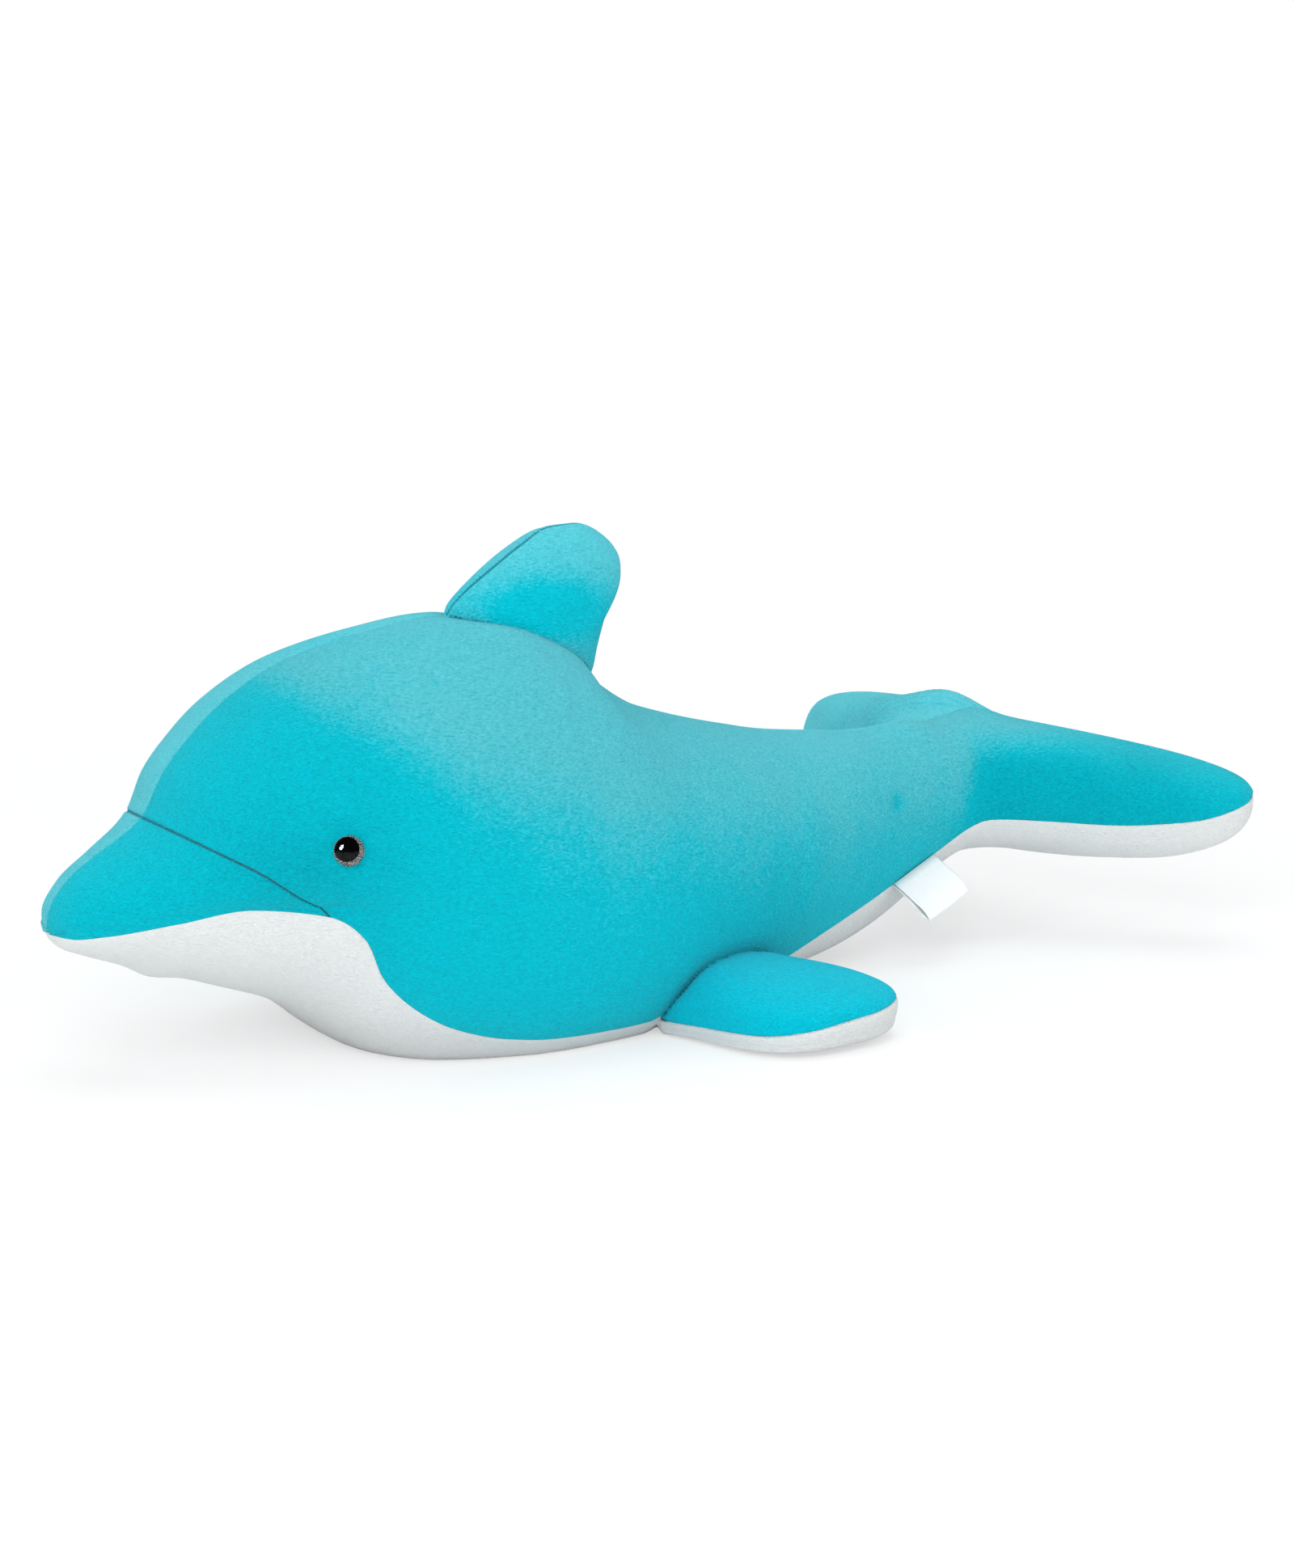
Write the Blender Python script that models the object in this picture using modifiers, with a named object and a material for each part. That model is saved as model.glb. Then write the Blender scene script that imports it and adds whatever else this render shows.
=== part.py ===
"""Plush dolphin, about 0.64 m long, lying on its belly.

X runs from the snout (-X) to the tail (+X), the dolphin's left side is -Y and
Z is up. The origin is on the floor, in the flat of the belly. The skin is
sewn from panels of short pile plush: two sides, two snout panels, a white
belly, and two panels for the back fin and for each flipper. Each panel is a
thin shell, and the stuffing under it is a solid. All lengths are metres.
"""

import math

import bmesh
import bpy
import numpy as np
from mathutils import Matrix, Vector
from mathutils.bvhtree import BVHTree

for old_object in list(bpy.data.objects):
    bpy.data.objects.remove(old_object)

# Cloth and clearances
MM = 0.001
PLUSH_THICKNESS = 0.0012
SEAM_GAP = 0.0003

# How the toy lies: the tail turns to the right and rolls a little
BEND_START = 0.0
BEND_LENGTH = 0.140
TAIL_BEND = math.radians(18.0)
TAIL_ROLL = math.radians(2.0)

# Rings of the stuffed body in millimetres, snout to tail, each with
# the station and height of its top point, the station, half width and height
# of its side point, the height of its bottom (below 0 it is pressed flat on
# the floor), the height of the seam between blue and white, the fullness of
# its upper and lower part (2 is an ellipse, more is squarer), and how far it
# is drawn out into a fluke (0 is a body ring, 1 a fluke ring)
BODY_RINGS = [
    (-333, 72, -333, 0, 72, 72, 72, 2.0, 2.0, 0),  # tip of the snout
    (-331, 84, -328, 17, 76, 65, 72, 1.9, 2.0, 0),
    (-323, 97, -314, 31, 79, 58, 74, 1.85, 2.0, 0),
    (-308, 108, -286, 47, 84, 49, 80, 1.75, 2.0, 0),
    (-296, 115, -255, 65, 88, 38, 87, 1.75, 2.0, 0),
    (-284, 124, -222, 81, 88, 26, 83, 1.9, 2.1, 0),  # snout seam
    (-272, 145, -206, 88, 87, 15, 71, 2.05, 2.2, 0),  # corner of the mouth
    (-258, 161, -196, 91, 85, 7, 50, 2.1, 2.4, 0),
    (-238, 178, -180, 95, 83, -3, 33, 2.15, 2.7, 0),
    (-205, 195, -158, 100, 80, -10, 20, 2.15, 3.0, 0),
    (-161, 205, -130, 104, 76, -13, 12, 2.15, 3.2, 0),
    (-118, 210, -103, 105, 73, -14, 9, 2.1, 3.4, 0),  # front of the back fin
    (-75, 205, -70, 103, 71, -14, 8, 2.1, 3.4, 0),
    (-50, 190, -48, 99, 70, -14, 8, 2.1, 3.2, 0),
    (-31, 165, -30, 95, 70, -13, 9, 2.1, 3.1, 0),  # rear of the back fin
    (-19, 156, -15, 91, 70, -11, 10, 2.1, 2.8, 0),
    (0, 150, 0, 87, 70, -9, 11, 2.1, 2.6, 0),
    (35, 139, 35, 74, 72, -5, 17, 2.0, 2.2, 0),
    (70, 131, 70, 61, 76, 0, 26, 2.0, 2.0, 0),
    (110, 125, 110, 49, 78, 5, 37, 2.0, 2.0, 0),
    (145, 120, 145, 42, 79, 13, 46, 2.0, 2.0, 0),  # thinnest part of the tail
    (178, 117, 178, 40, 77, 28, 56, 2.0, 2.0, 0.3),
    (205, 116, 204, 47, 73, 43, 69, 2.1, 2.0, 1),  # root of the flukes
    (222, 117, 219, 66, 70, 46, 70, 2.3, 2.1, 1),
    (236, 117, 232, 86, 70, 45, 70, 2.4, 2.2, 1),
    (248, 116, 243, 108, 71, 43, 71, 2.4, 2.4, 1),
    (258, 114, 257, 127, 73, 42, 73, 2.4, 2.6, 1),
    (266, 112, 274, 146, 77, 42, 77, 2.3, 2.8, 1),
    (272, 110, 295, 154, 83, 46, 83, 2.2, 3.0, 1),  # tips of the flukes
    (277, 107, 310, 146, 87, 53, 87, 2.2, 3.0, 1),
    (281, 105, 312, 112, 91, 65, 91, 2.3, 2.6, 1),
    (284, 102, 305, 67, 93, 77, 93, 2.4, 2.2, 1),
    (287, 99, 294, 25, 93, 85, 93, 2.3, 2.0, 1),
    (288, 98, 288, 0, 93, 87, 93, 2.0, 2.0, 1),  # notch between the flukes
]
SNOUT_SEAM_RING = 5
LABEL_RING = 20.2
ROW_SPACING = 0.031
POLE_SHARE = 0.1
SIDE_COLUMNS = 7
BELLY_COLUMNS = 4

# Back fin: its edge in the middle plane, in millimetres from the front root
# over the top to the rear root, the stations of its root and how deep that is
# sunk below the back before the body is cut away, and its half thickness
FIN_EDGE = [(-122, 203), (-113, 217), (-95, 233), (-78, 244), (-60, 251), (-42, 251), (-27, 244),
            (-17, 231), (-17, 222), (-24, 212), (-29, 199), (-33, 186), (-36, 166)]
FIN_ROOT_FRONT = -0.119
FIN_ROOT_REAR = -0.036
FIN_ROOT_DEPTH = 0.018
FIN_HALF_THICKNESS = 0.027
FIN_ROWS = 13
FIN_COLUMNS = 5

# Flippers: the edge seam of the left one, in millimetres (x, distance from
# the middle plane, height), from the front root round the tip to the rear root
FLIPPER_EDGE = [(-44, 66, 7), (-38, 90, 8), (-31, 110, 9), (-25, 130, 10), (-17, 146, 11),
                (-6, 156, 13), (8, 161, 15), (25, 160, 17), (42, 157, 18), (57, 149, 19),
                (67, 137, 20), (68, 120, 20), (60, 98, 19), (50, 78, 18), (42, 60, 17)]
FLIPPER_ROOT_FRONT = -0.034
FLIPPER_ROOT_REAR = 0.018
FLIPPER_ROOT_INSET = 0.050
FLIPPER_TOP_HEIGHT = 0.037
FLIPPER_PRESS = 2.6
FLIPPER_TOP_FULLNESS = 2.3
FLIPPER_UNDERSIDE_FULLNESS = 3.6
FLIPPER_ROWS = 13
FLIPPER_COLUMNS = 5
PILLOW_END_SHARE = 0.03

# Eyes: a clear dome with a post through the cloth, a glitter disc behind it
# and a lock washer on the post inside
EYE_PLACE = (-0.2140, 0.1160)
EYE_RADIUS = 0.0075
EYE_RIM = 0.0009
EYE_DOME_HEIGHT = 0.0050
EYE_POST_RADIUS = 0.0025
EYE_POST_LENGTH = 0.0120
EYE_SEAT_CLEARANCE = 0.0006
DISC_THICKNESS = 0.0005
WASHER_RADIUS = 0.0060
WASHER_THICKNESS = 0.0014
WASHER_CLEARANCE = 0.0008
ROUND_STEPS = 18
DOME_POINTS = 5

# Label: a satin ribbon folded double, its two ends at the side seam
LABEL_WIDTH = 0.037
LABEL_DROP = 0.027
LABEL_RIBBON = 0.0003
LABEL_FOLD_RADIUS = 0.0008
LABEL_SEAT = 0.0008
LABEL_BOW = 0.0025
LABEL_TILT = math.radians(14.0)
LABEL_POINTS = 6

BLUE = (0.035, 0.520, 0.640)
DEEP_BLUE = (0.010, 0.470, 0.600)
WHITE = (0.760, 0.790, 0.790)
STUFFING_WHITE = (0.900, 0.900, 0.880)
EYE_BLACK = (0.010, 0.010, 0.012)
GLITTER_SILVER = (0.400, 0.400, 0.420)
WASHER_WHITE = (0.800, 0.800, 0.780)
LABEL_WHITE = (0.950, 0.960, 0.970)


def make_collection(name):
    """A new collection linked to the scene."""
    collection = bpy.data.collections.new(name)
    bpy.context.scene.collection.children.link(collection)
    return collection


DOLPHIN = make_collection("plush_dolphin")
CUTTERS = make_collection("cutters")


def make_material(name, colour, roughness, metallic=0.0):
    """A Principled material with one colour."""
    material = bpy.data.materials.new(name)
    material.use_nodes = True
    shader = material.node_tree.nodes["Principled BSDF"]
    shader.inputs["Base Color"].default_value = (*colour, 1.0)
    shader.inputs["Roughness"].default_value = roughness
    shader.inputs["Metallic"].default_value = metallic
    material.diffuse_color = (*colour, 1.0)
    return material


BLUE_PLUSH = make_material("blue_plush", BLUE, 0.95)
DEEP_BLUE_PLUSH = make_material("deep_blue_plush", DEEP_BLUE, 0.95)
WHITE_PLUSH = make_material("white_plush", WHITE, 0.95)
STUFFING = make_material("stuffing", STUFFING_WHITE, 1.0)
EYE_PLASTIC = make_material("eye_plastic", EYE_BLACK, 0.05)
GLITTER = make_material("glitter", GLITTER_SILVER, 0.35, 0.8)
WASHER_PLASTIC = make_material("washer_plastic", WASHER_WHITE, 0.5)
SATIN = make_material("satin", LABEL_WHITE, 0.35)


def smooth_values(knots, values, at):
    """Monotone cubic curve through the values, so that it never overshoots."""
    step = np.diff(knots)
    slope = np.diff(values) / step
    weight_a = 2.0 * step[1:] + step[:-1]
    weight_b = step[1:] + 2.0 * step[:-1]
    same_way = slope[1:] * slope[:-1] > 0.0
    safe_a = np.where(same_way, slope[:-1], 1.0)
    safe_b = np.where(same_way, slope[1:], 1.0)
    mean = (weight_a + weight_b) / (weight_a / safe_a + weight_b / safe_b)
    tangent = np.concatenate([slope[:1], np.where(same_way, mean, 0.0), slope[-1:]])
    index = np.clip(np.searchsorted(knots, at) - 1, 0, len(step) - 1)
    t = (at - knots[index]) / step[index]
    start = values[index] * (1.0 + 2.0 * t) * (1.0 - t) ** 2
    leave = tangent[index] * step[index] * t * (1.0 - t) ** 2
    end = values[index + 1] * t * t * (3.0 - 2.0 * t)
    arrive = tangent[index + 1] * step[index] * t * t * (t - 1.0)
    return start + leave + end + arrive


def bend_tail(station, across, height):
    """World place of a point given along the spine, across to the left, and up."""
    turned = np.clip((station - BEND_START) / BEND_LENGTH, 0.0, 1.0)
    angle = turned * TAIL_BEND
    radius = BEND_LENGTH / TAIL_BEND
    before = np.minimum(station, BEND_START)
    beyond = np.maximum(station - BEND_START - BEND_LENGTH, 0.0)
    x = before + radius * np.sin(angle) + beyond * np.cos(angle) + across * np.sin(angle)
    y = radius * (1.0 - np.cos(angle)) + beyond * np.sin(angle) - across * np.cos(angle)
    z = height - across * np.sin(TAIL_ROLL) * turned
    return np.stack([x, y, np.maximum(z, 0.0)], axis=-1)


def ring_values(ring):
    """The ten values of a ring, at a whole or part ring number, lengths in metres."""
    table = np.array(BODY_RINGS, dtype=float)
    table[:, :7] *= MM
    numbers = np.arange(len(table), dtype=float)
    return [smooth_values(numbers, table[:, column], ring) for column in range(table.shape[1])]


def seam_angle(ring):
    """Angle round the ring, from its top, where the blue cloth meets the white."""
    _, _, _, _, side_z, bottom_z, seam_z, _, lower, _ = ring_values(ring)
    drop = np.clip((side_z - seam_z) / np.maximum(side_z - bottom_z, 1e-6), 0.0, 1.0)
    return math.pi / 2 + np.arcsin(drop ** (lower / 2.0))


def skin_point(ring, angle, side):
    """Point of the skin: angle 0 is the back, pi the belly; side 1 is the left."""
    top_s, top_z, side_s, width, side_z, bottom_z, _, upper, lower, drawn = ring_values(ring)
    above = np.clip(angle, 0.0, math.pi / 2)
    below = np.clip(angle - math.pi / 2, 0.0, math.pi / 2)
    up = np.cos(above).clip(0.0) ** (2.0 / upper)
    out = np.sin(above) ** (2.0 / upper)
    inward = np.cos(below).clip(0.0) ** (2.0 / lower)
    down = np.sin(below) ** (2.0 / lower)
    is_upper = angle <= math.pi / 2
    lean = (1.0 - drawn) * (1.0 - up) + drawn * out
    bottom_s = side_s * (1.0 - drawn) + top_s * drawn
    upper_s = top_s + (side_s - top_s) * lean
    lower_s = bottom_s + (side_s - bottom_s) * ((1.0 - drawn) + drawn * inward)
    station = np.where(is_upper, upper_s, lower_s)
    across = width * np.where(is_upper, out, inward)
    height = np.where(is_upper, side_z + (top_z - side_z) * up, side_z - (side_z - bottom_z) * down)
    return bend_tail(station, side * across, height)


def surface_normals(surface, along, across, limits):
    """Unit normals of a surface of two parameters, by small steps inside its limits."""
    step = 1e-4
    low_a, high_a, low_b, high_b = limits
    ahead = surface(np.minimum(along + step, high_a), across)
    behind = surface(np.maximum(along - step, low_a), across)
    right = surface(along, np.minimum(across + step, high_b))
    left = surface(along, np.maximum(across - step, low_b))
    normal = np.cross(ahead - behind, right - left)
    return normal / np.linalg.norm(normal, axis=-1, keepdims=True)


def skin_grid(ring, angle, side, depth):
    """Grid of skin points moved inwards by depth, for ring and angle arrays."""
    def surface(a, b):
        return skin_point(a, b, side)
    last = len(BODY_RINGS) - 1.0
    inward = side * surface_normals(surface, ring, angle, (0.0, last, 0.0, math.pi))
    at_snout = np.clip(1.0 - ring, 0.0, 1.0)[..., None]
    at_notch = np.clip(1.0 - last + ring, 0.0, 1.0)[..., None]
    forward = np.array([-math.cos(TAIL_BEND), -math.sin(TAIL_BEND), 0.0])
    inward = inward * (1.0 - at_snout) + np.array([1.0, 0.0, 0.0]) * at_snout
    inward = inward * (1.0 - at_notch) + forward * at_notch
    inward /= np.linalg.norm(inward, axis=-1, keepdims=True)
    return surface(ring, angle) + depth * inward


def ring_rows():
    """Ring numbers of the mesh rows: closer where the rings lie closer."""
    rows = [POLE_SHARE]
    table = np.array(BODY_RINGS, dtype=float)[:, :5] * MM
    lengths = np.linalg.norm(np.diff(table[:, 2:5], axis=0), axis=1)
    for number, length in enumerate(lengths):
        parts = max(1, math.ceil(length / ROW_SPACING))
        rows += [number + (part + 1) / parts for part in range(parts)]
    rows[-1] = len(lengths) - POLE_SHARE
    return np.array(rows)


ROWS = ring_rows()
SNOUT_ROWS = int(np.searchsorted(ROWS, SNOUT_SEAM_RING)) + 1


def side_angles(rows):
    """Angles of the blue columns on each row, back to seam."""
    return np.linspace(0.0, 1.0, SIDE_COLUMNS + 1)[None, :] * seam_angle(rows)[:, None]


def belly_angles(rows):
    """Angles of the white columns on each row, seam to the middle of the belly."""
    start = seam_angle(rows)[:, None]
    return start + np.linspace(0.0, 1.0, BELLY_COLUMNS + 1)[None, :] * (math.pi - start)


def body_grid(rows, angles, side, depth):
    """Skin grid for whole rows of angles."""
    return skin_grid(np.broadcast_to(rows[:, None], angles.shape), angles, side, depth)


def trim_edges(grid, rows_first=False, rows_last=False, columns_first=False, columns_last=False):
    """Draw the named edges of a grid back by half the seam gap, along its surface."""
    grid = grid.copy()

    def drawn_back(edge, neighbour):
        away = neighbour - edge
        return edge + away / np.linalg.norm(away, axis=-1, keepdims=True) * SEAM_GAP / 2

    if columns_first:
        grid[:, 0] = drawn_back(grid[:, 0], grid[:, 1])
    if columns_last:
        grid[:, -1] = drawn_back(grid[:, -1], grid[:, -2])
    if rows_first:
        grid[0] = drawn_back(grid[0], grid[1])
    if rows_last:
        grid[-1] = drawn_back(grid[-1], grid[-2])
    return grid


def finish_mesh(name, geometry, material, collection):
    """Object from a closed bmesh, its faces pointing out."""
    bmesh.ops.recalc_face_normals(geometry, faces=geometry.faces)
    if geometry.calc_volume(signed=True) < 0.0:
        bmesh.ops.reverse_faces(geometry, faces=geometry.faces)
    mesh = bpy.data.meshes.new(name)
    geometry.to_mesh(mesh)
    geometry.free()
    mesh.shade_smooth()
    mesh.materials.append(material)
    thing = bpy.data.objects.new(name, mesh)
    collection.objects.link(thing)
    return thing


def add_grid_faces(geometry, points, guide, closed=False):
    """Triangles over a grid of vertices, split along the shorter diagonal of the guide grid.

    Grids at several depths under one surface share its guide, so their faces stay parallel.
    """
    rows = len(points)
    columns = len(points[0])
    for row in range(rows - 1):
        for column in range(columns if closed else columns - 1):
            after = (column + 1) % columns
            a = points[row][column]
            b = points[row + 1][column]
            c = points[row + 1][after]
            d = points[row][after]
            down = np.linalg.norm(guide[row + 1, after] - guide[row, column])
            up = np.linalg.norm(guide[row + 1, column] - guide[row, after])
            if down <= up:
                geometry.faces.new((a, b, c))
                geometry.faces.new((a, c, d))
            else:
                geometry.faces.new((a, b, d))
                geometry.faces.new((b, c, d))


def make_vertices(geometry, grid):
    """Vertices of a grid, as a list of rows."""
    return [[geometry.verts.new(point) for point in row] for row in grid.tolist()]


def cloth_panel(name, outer, inner, material):
    """Closed shell of one cloth panel between its outer and inner grids."""
    geometry = bmesh.new()
    front = make_vertices(geometry, outer)
    back = make_vertices(geometry, inner)
    add_grid_faces(geometry, front, outer)
    add_grid_faces(geometry, back, outer)
    for pick in (lambda grid: grid[0], lambda grid: grid[-1],
                 lambda grid: [row[0] for row in grid], lambda grid: [row[-1] for row in grid]):
        add_grid_faces(geometry, [pick(front), pick(back)], np.array([pick(outer), pick(inner)]))
    return finish_mesh(name, geometry, material, DOLPHIN)


def stuffed_solid(name, loops, guide, material, collection):
    """Closed solid from rows of closed loops, its two ends filled."""
    geometry = bmesh.new()
    points = make_vertices(geometry, loops)
    add_grid_faces(geometry, points, guide, closed=True)
    for loop in (points[0], points[-1]):
        middle = geometry.verts.new(np.mean([tuple(vertex.co) for vertex in loop], axis=0))
        for index, vertex in enumerate(loop):
            geometry.faces.new((vertex, loop[(index + 1) % len(loop)], middle))
    return finish_mesh(name, geometry, material, collection)


def cut_away(thing, cutter):
    """Take the cutter out of a piece."""
    cut = thing.modifiers.new("cut_by_" + cutter.name, "BOOLEAN")
    cut.operation = "DIFFERENCE"
    cut.solver = "EXACT"
    cut.object = cutter


def hide_cutter(thing):
    """Show a cutter as wires only."""
    thing.hide_render = True
    thing.display_type = "WIRE"
    return thing


def skin_loops(depth):
    """Closed loops round the body, back to belly on the left and up again on the right."""
    halves = []
    for side in (1, -1):
        blue = body_grid(ROWS, side_angles(ROWS), side, depth)
        white = body_grid(ROWS, belly_angles(ROWS), side, depth)
        halves.append(np.concatenate([blue, white[:, 1:]], axis=1))
    return np.concatenate([halves[0], halves[1][:, -2:0:-1]], axis=1)


def whole_skin(name, depth, material, collection):
    """Closed solid of the whole body, its skin moved inwards by depth."""
    return stuffed_solid(name, skin_loops(depth), skin_loops(0.0), material, collection)


def make_side_and_snout(side, word):
    """Blue panels of one side: the snout, and the side out to the fluke."""
    snout = ROWS[:SNOUT_ROWS]
    trunk = ROWS[SNOUT_ROWS - 1:]
    grids = []
    for depth in (0.0, PLUSH_THICKNESS):
        nose = body_grid(snout, side_angles(snout), side, depth)
        flank = body_grid(trunk, side_angles(trunk), side, depth)
        nose = trim_edges(nose, rows_last=True, columns_first=True, columns_last=True)
        flank = trim_edges(flank, rows_first=True, columns_first=True, columns_last=True)
        grids.append((nose, flank))
    cloth_panel("snout_" + word + "_panel", grids[0][0], grids[1][0], DEEP_BLUE_PLUSH)
    return cloth_panel(word + "_side_panel", grids[0][1], grids[1][1], BLUE_PLUSH)


def make_belly():
    """White panel from the chin to the undersides of the flukes."""
    grids = []
    for depth in (0.0, PLUSH_THICKNESS):
        left = body_grid(ROWS, belly_angles(ROWS), 1, depth)
        right = body_grid(ROWS, belly_angles(ROWS), -1, depth)
        both = np.concatenate([left, right[:, -2::-1]], axis=1)
        grids.append(trim_edges(both, columns_first=True, columns_last=True))
    return cloth_panel("belly_panel", grids[0], grids[1], WHITE_PLUSH)


def edge_curve(outline, share):
    """Smooth curve through an outline in millimetres, at shares 0 to 1 of its length."""
    points = np.array(outline, dtype=float) * MM
    steps = np.linalg.norm(np.diff(points, axis=0), axis=1)
    knots = np.concatenate([[0.0], np.cumsum(steps)]) / steps.sum()
    return [smooth_values(knots, points[:, axis], share) for axis in range(points.shape[1])]


def back_height(station):
    """Height of the line of the back at a station."""
    table = np.array(BODY_RINGS, dtype=float) * MM
    return smooth_values(table[:, 0], table[:, 1], np.asarray(station))


def fin_point(share, turn, side):
    """Fin surface: share runs along its edge, turn from the root (0) to the edge (1)."""
    edge_x, edge_z = edge_curve(FIN_EDGE, share)
    root_x = FIN_ROOT_FRONT + (FIN_ROOT_REAR - FIN_ROOT_FRONT) * share
    root_z = back_height(root_x) - FIN_ROOT_DEPTH
    half = FIN_HALF_THICKNESS * np.sin(math.pi * share.clip(0.0, 1.0)) ** 0.6
    rise = np.sin(turn * math.pi / 2) ** 0.9
    swell = np.cos(turn * math.pi / 2).clip(0.0) ** 0.9
    x = root_x + (edge_x - root_x) * rise
    z = root_z + (edge_z - root_z) * rise
    return np.stack([x, -side * half * swell, z], axis=-1)


def flipper_point(share, turn, side, is_top):
    """Flipper surface: share runs along its edge, turn from the root (0) to the edge (1)."""
    edge_x, edge_y, edge_z = edge_curve(FLIPPER_EDGE, share)
    root_x = FLIPPER_ROOT_FRONT + (FLIPPER_ROOT_REAR - FLIPPER_ROOT_FRONT) * share
    crest = np.sin(math.pi * share.clip(0.0, 1.0)) ** 0.5
    fullness = FLIPPER_TOP_FULLNESS if is_top else FLIPPER_UNDERSIDE_FULLNESS
    out = np.sin(turn * math.pi / 2) ** (2.0 / fullness)
    swell = np.cos(turn * math.pi / 2).clip(0.0) ** (2.0 / fullness)
    x = root_x + (edge_x - root_x) * out
    y = FLIPPER_ROOT_INSET + (edge_y - FLIPPER_ROOT_INSET) * out
    if is_top:
        z = edge_z + (FLIPPER_TOP_HEIGHT - edge_z) * crest * swell
    else:
        z = edge_z * (1.0 - swell) ** FLIPPER_PRESS
    return np.stack([x, -side * y, z], axis=-1)


def pillow_grid(surface, rows, columns, depth, facing):
    """Grid over one face of a fin or flipper, moved inwards by depth."""
    share = np.linspace(PILLOW_END_SHARE, 1.0 - PILLOW_END_SHARE, rows + 1)[:, None]
    turn = np.linspace(0.0, 1.0, columns + 1)[None, :]
    share, turn = np.broadcast_arrays(share, turn)
    normal = surface_normals(surface, share, turn, (0.0, 1.0, 0.0, 1.0))
    return surface(share, turn) + facing * depth * normal


def pillow_loops(surfaces, facings, rows, columns, depth):
    """Closed loops over both faces of a fin or flipper, which meet at its edge seam."""
    faces = [pillow_grid(surface, rows, columns, depth, facing)
             for surface, facing in zip(surfaces, facings)]
    seam = (faces[0][:, -1:] + faces[1][:, -1:]) / 2
    return np.concatenate([faces[0][:, :-1], seam, faces[1][:, -2::-1]], axis=1)


def sewn_pillow(names, filling_name, surfaces, facings, materials, rows, columns):
    """Two cloth panels sewn at their edge, with stuffing between them."""
    pieces = []
    for name, surface, facing, material in zip(names, surfaces, facings, materials):
        grids = [trim_edges(pillow_grid(surface, rows, columns, depth, facing), columns_last=True)
                 for depth in (0.0, PLUSH_THICKNESS)]
        pieces.append(cloth_panel(name, grids[0], grids[1], material))
    core = pillow_loops(surfaces, facings, rows, columns, PLUSH_THICKNESS + SEAM_GAP)
    guide = pillow_loops(surfaces, facings, rows, columns, 0.0)
    pieces.append(stuffed_solid(filling_name, core, guide, STUFFING, DOLPHIN))
    return pieces


def make_fin():
    """Back fin: a left and a right panel and its stuffing."""
    surfaces = [lambda a, b: fin_point(a, b, 1), lambda a, b: fin_point(a, b, -1)]
    return sewn_pillow(("fin_left_panel", "fin_right_panel"), "fin_filling", surfaces, (-1, 1),
                       (BLUE_PLUSH, BLUE_PLUSH), FIN_ROWS, FIN_COLUMNS)


def make_flipper(side, word):
    """One flipper: its blue top, its white underside and its stuffing."""
    surfaces = [lambda a, b: flipper_point(a, b, side, True),
                lambda a, b: flipper_point(a, b, side, False)]
    names = (word + "_flipper_top", word + "_flipper_underside")
    return sewn_pillow(names, word + "_flipper_filling", surfaces, (side, -side),
                       (DEEP_BLUE_PLUSH, WHITE_PLUSH), FLIPPER_ROWS, FLIPPER_COLUMNS)


def turned(name, profile, material, collection, closed=False):
    """Turned piece from its profile of (radius, height), listed down its outer side."""
    mesh = bpy.data.meshes.new(name)
    points = [(radius, 0.0, height) for radius, height in profile]
    edges = [(i, i + 1) for i in range(len(points) - 1)]
    if closed:
        edges.append((len(points) - 1, 0))
    mesh.from_pydata(points, edges, [])
    mesh.materials.append(material)
    thing = bpy.data.objects.new(name, mesh)
    collection.objects.link(thing)
    screw = thing.modifiers.new("turn", "SCREW")
    screw.steps = ROUND_STEPS
    screw.render_steps = ROUND_STEPS
    screw.use_merge_vertices = True
    screw.merge_threshold = 0.00001
    screw.use_smooth_shade = True
    return thing


def ring_profile(inner, outer, top, bottom):
    """Corners of the section of a flat ring."""
    return [(inner, top), (outer, top), (outer, bottom), (inner, bottom)]


def seat_on(panel, side):
    """Frame on a side panel where the eye's line meets it, its Z pointing out."""
    tree = BVHTree.FromObject(panel, bpy.context.evaluated_depsgraph_get())
    start = Vector((EYE_PLACE[0], -side, EYE_PLACE[1]))
    place, normal, _, _ = tree.ray_cast(start, Vector((0.0, side, 0.0)))
    turn = normal.to_track_quat("Z", "Y").to_matrix().to_4x4()
    return Matrix.Translation(place) @ turn


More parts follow.
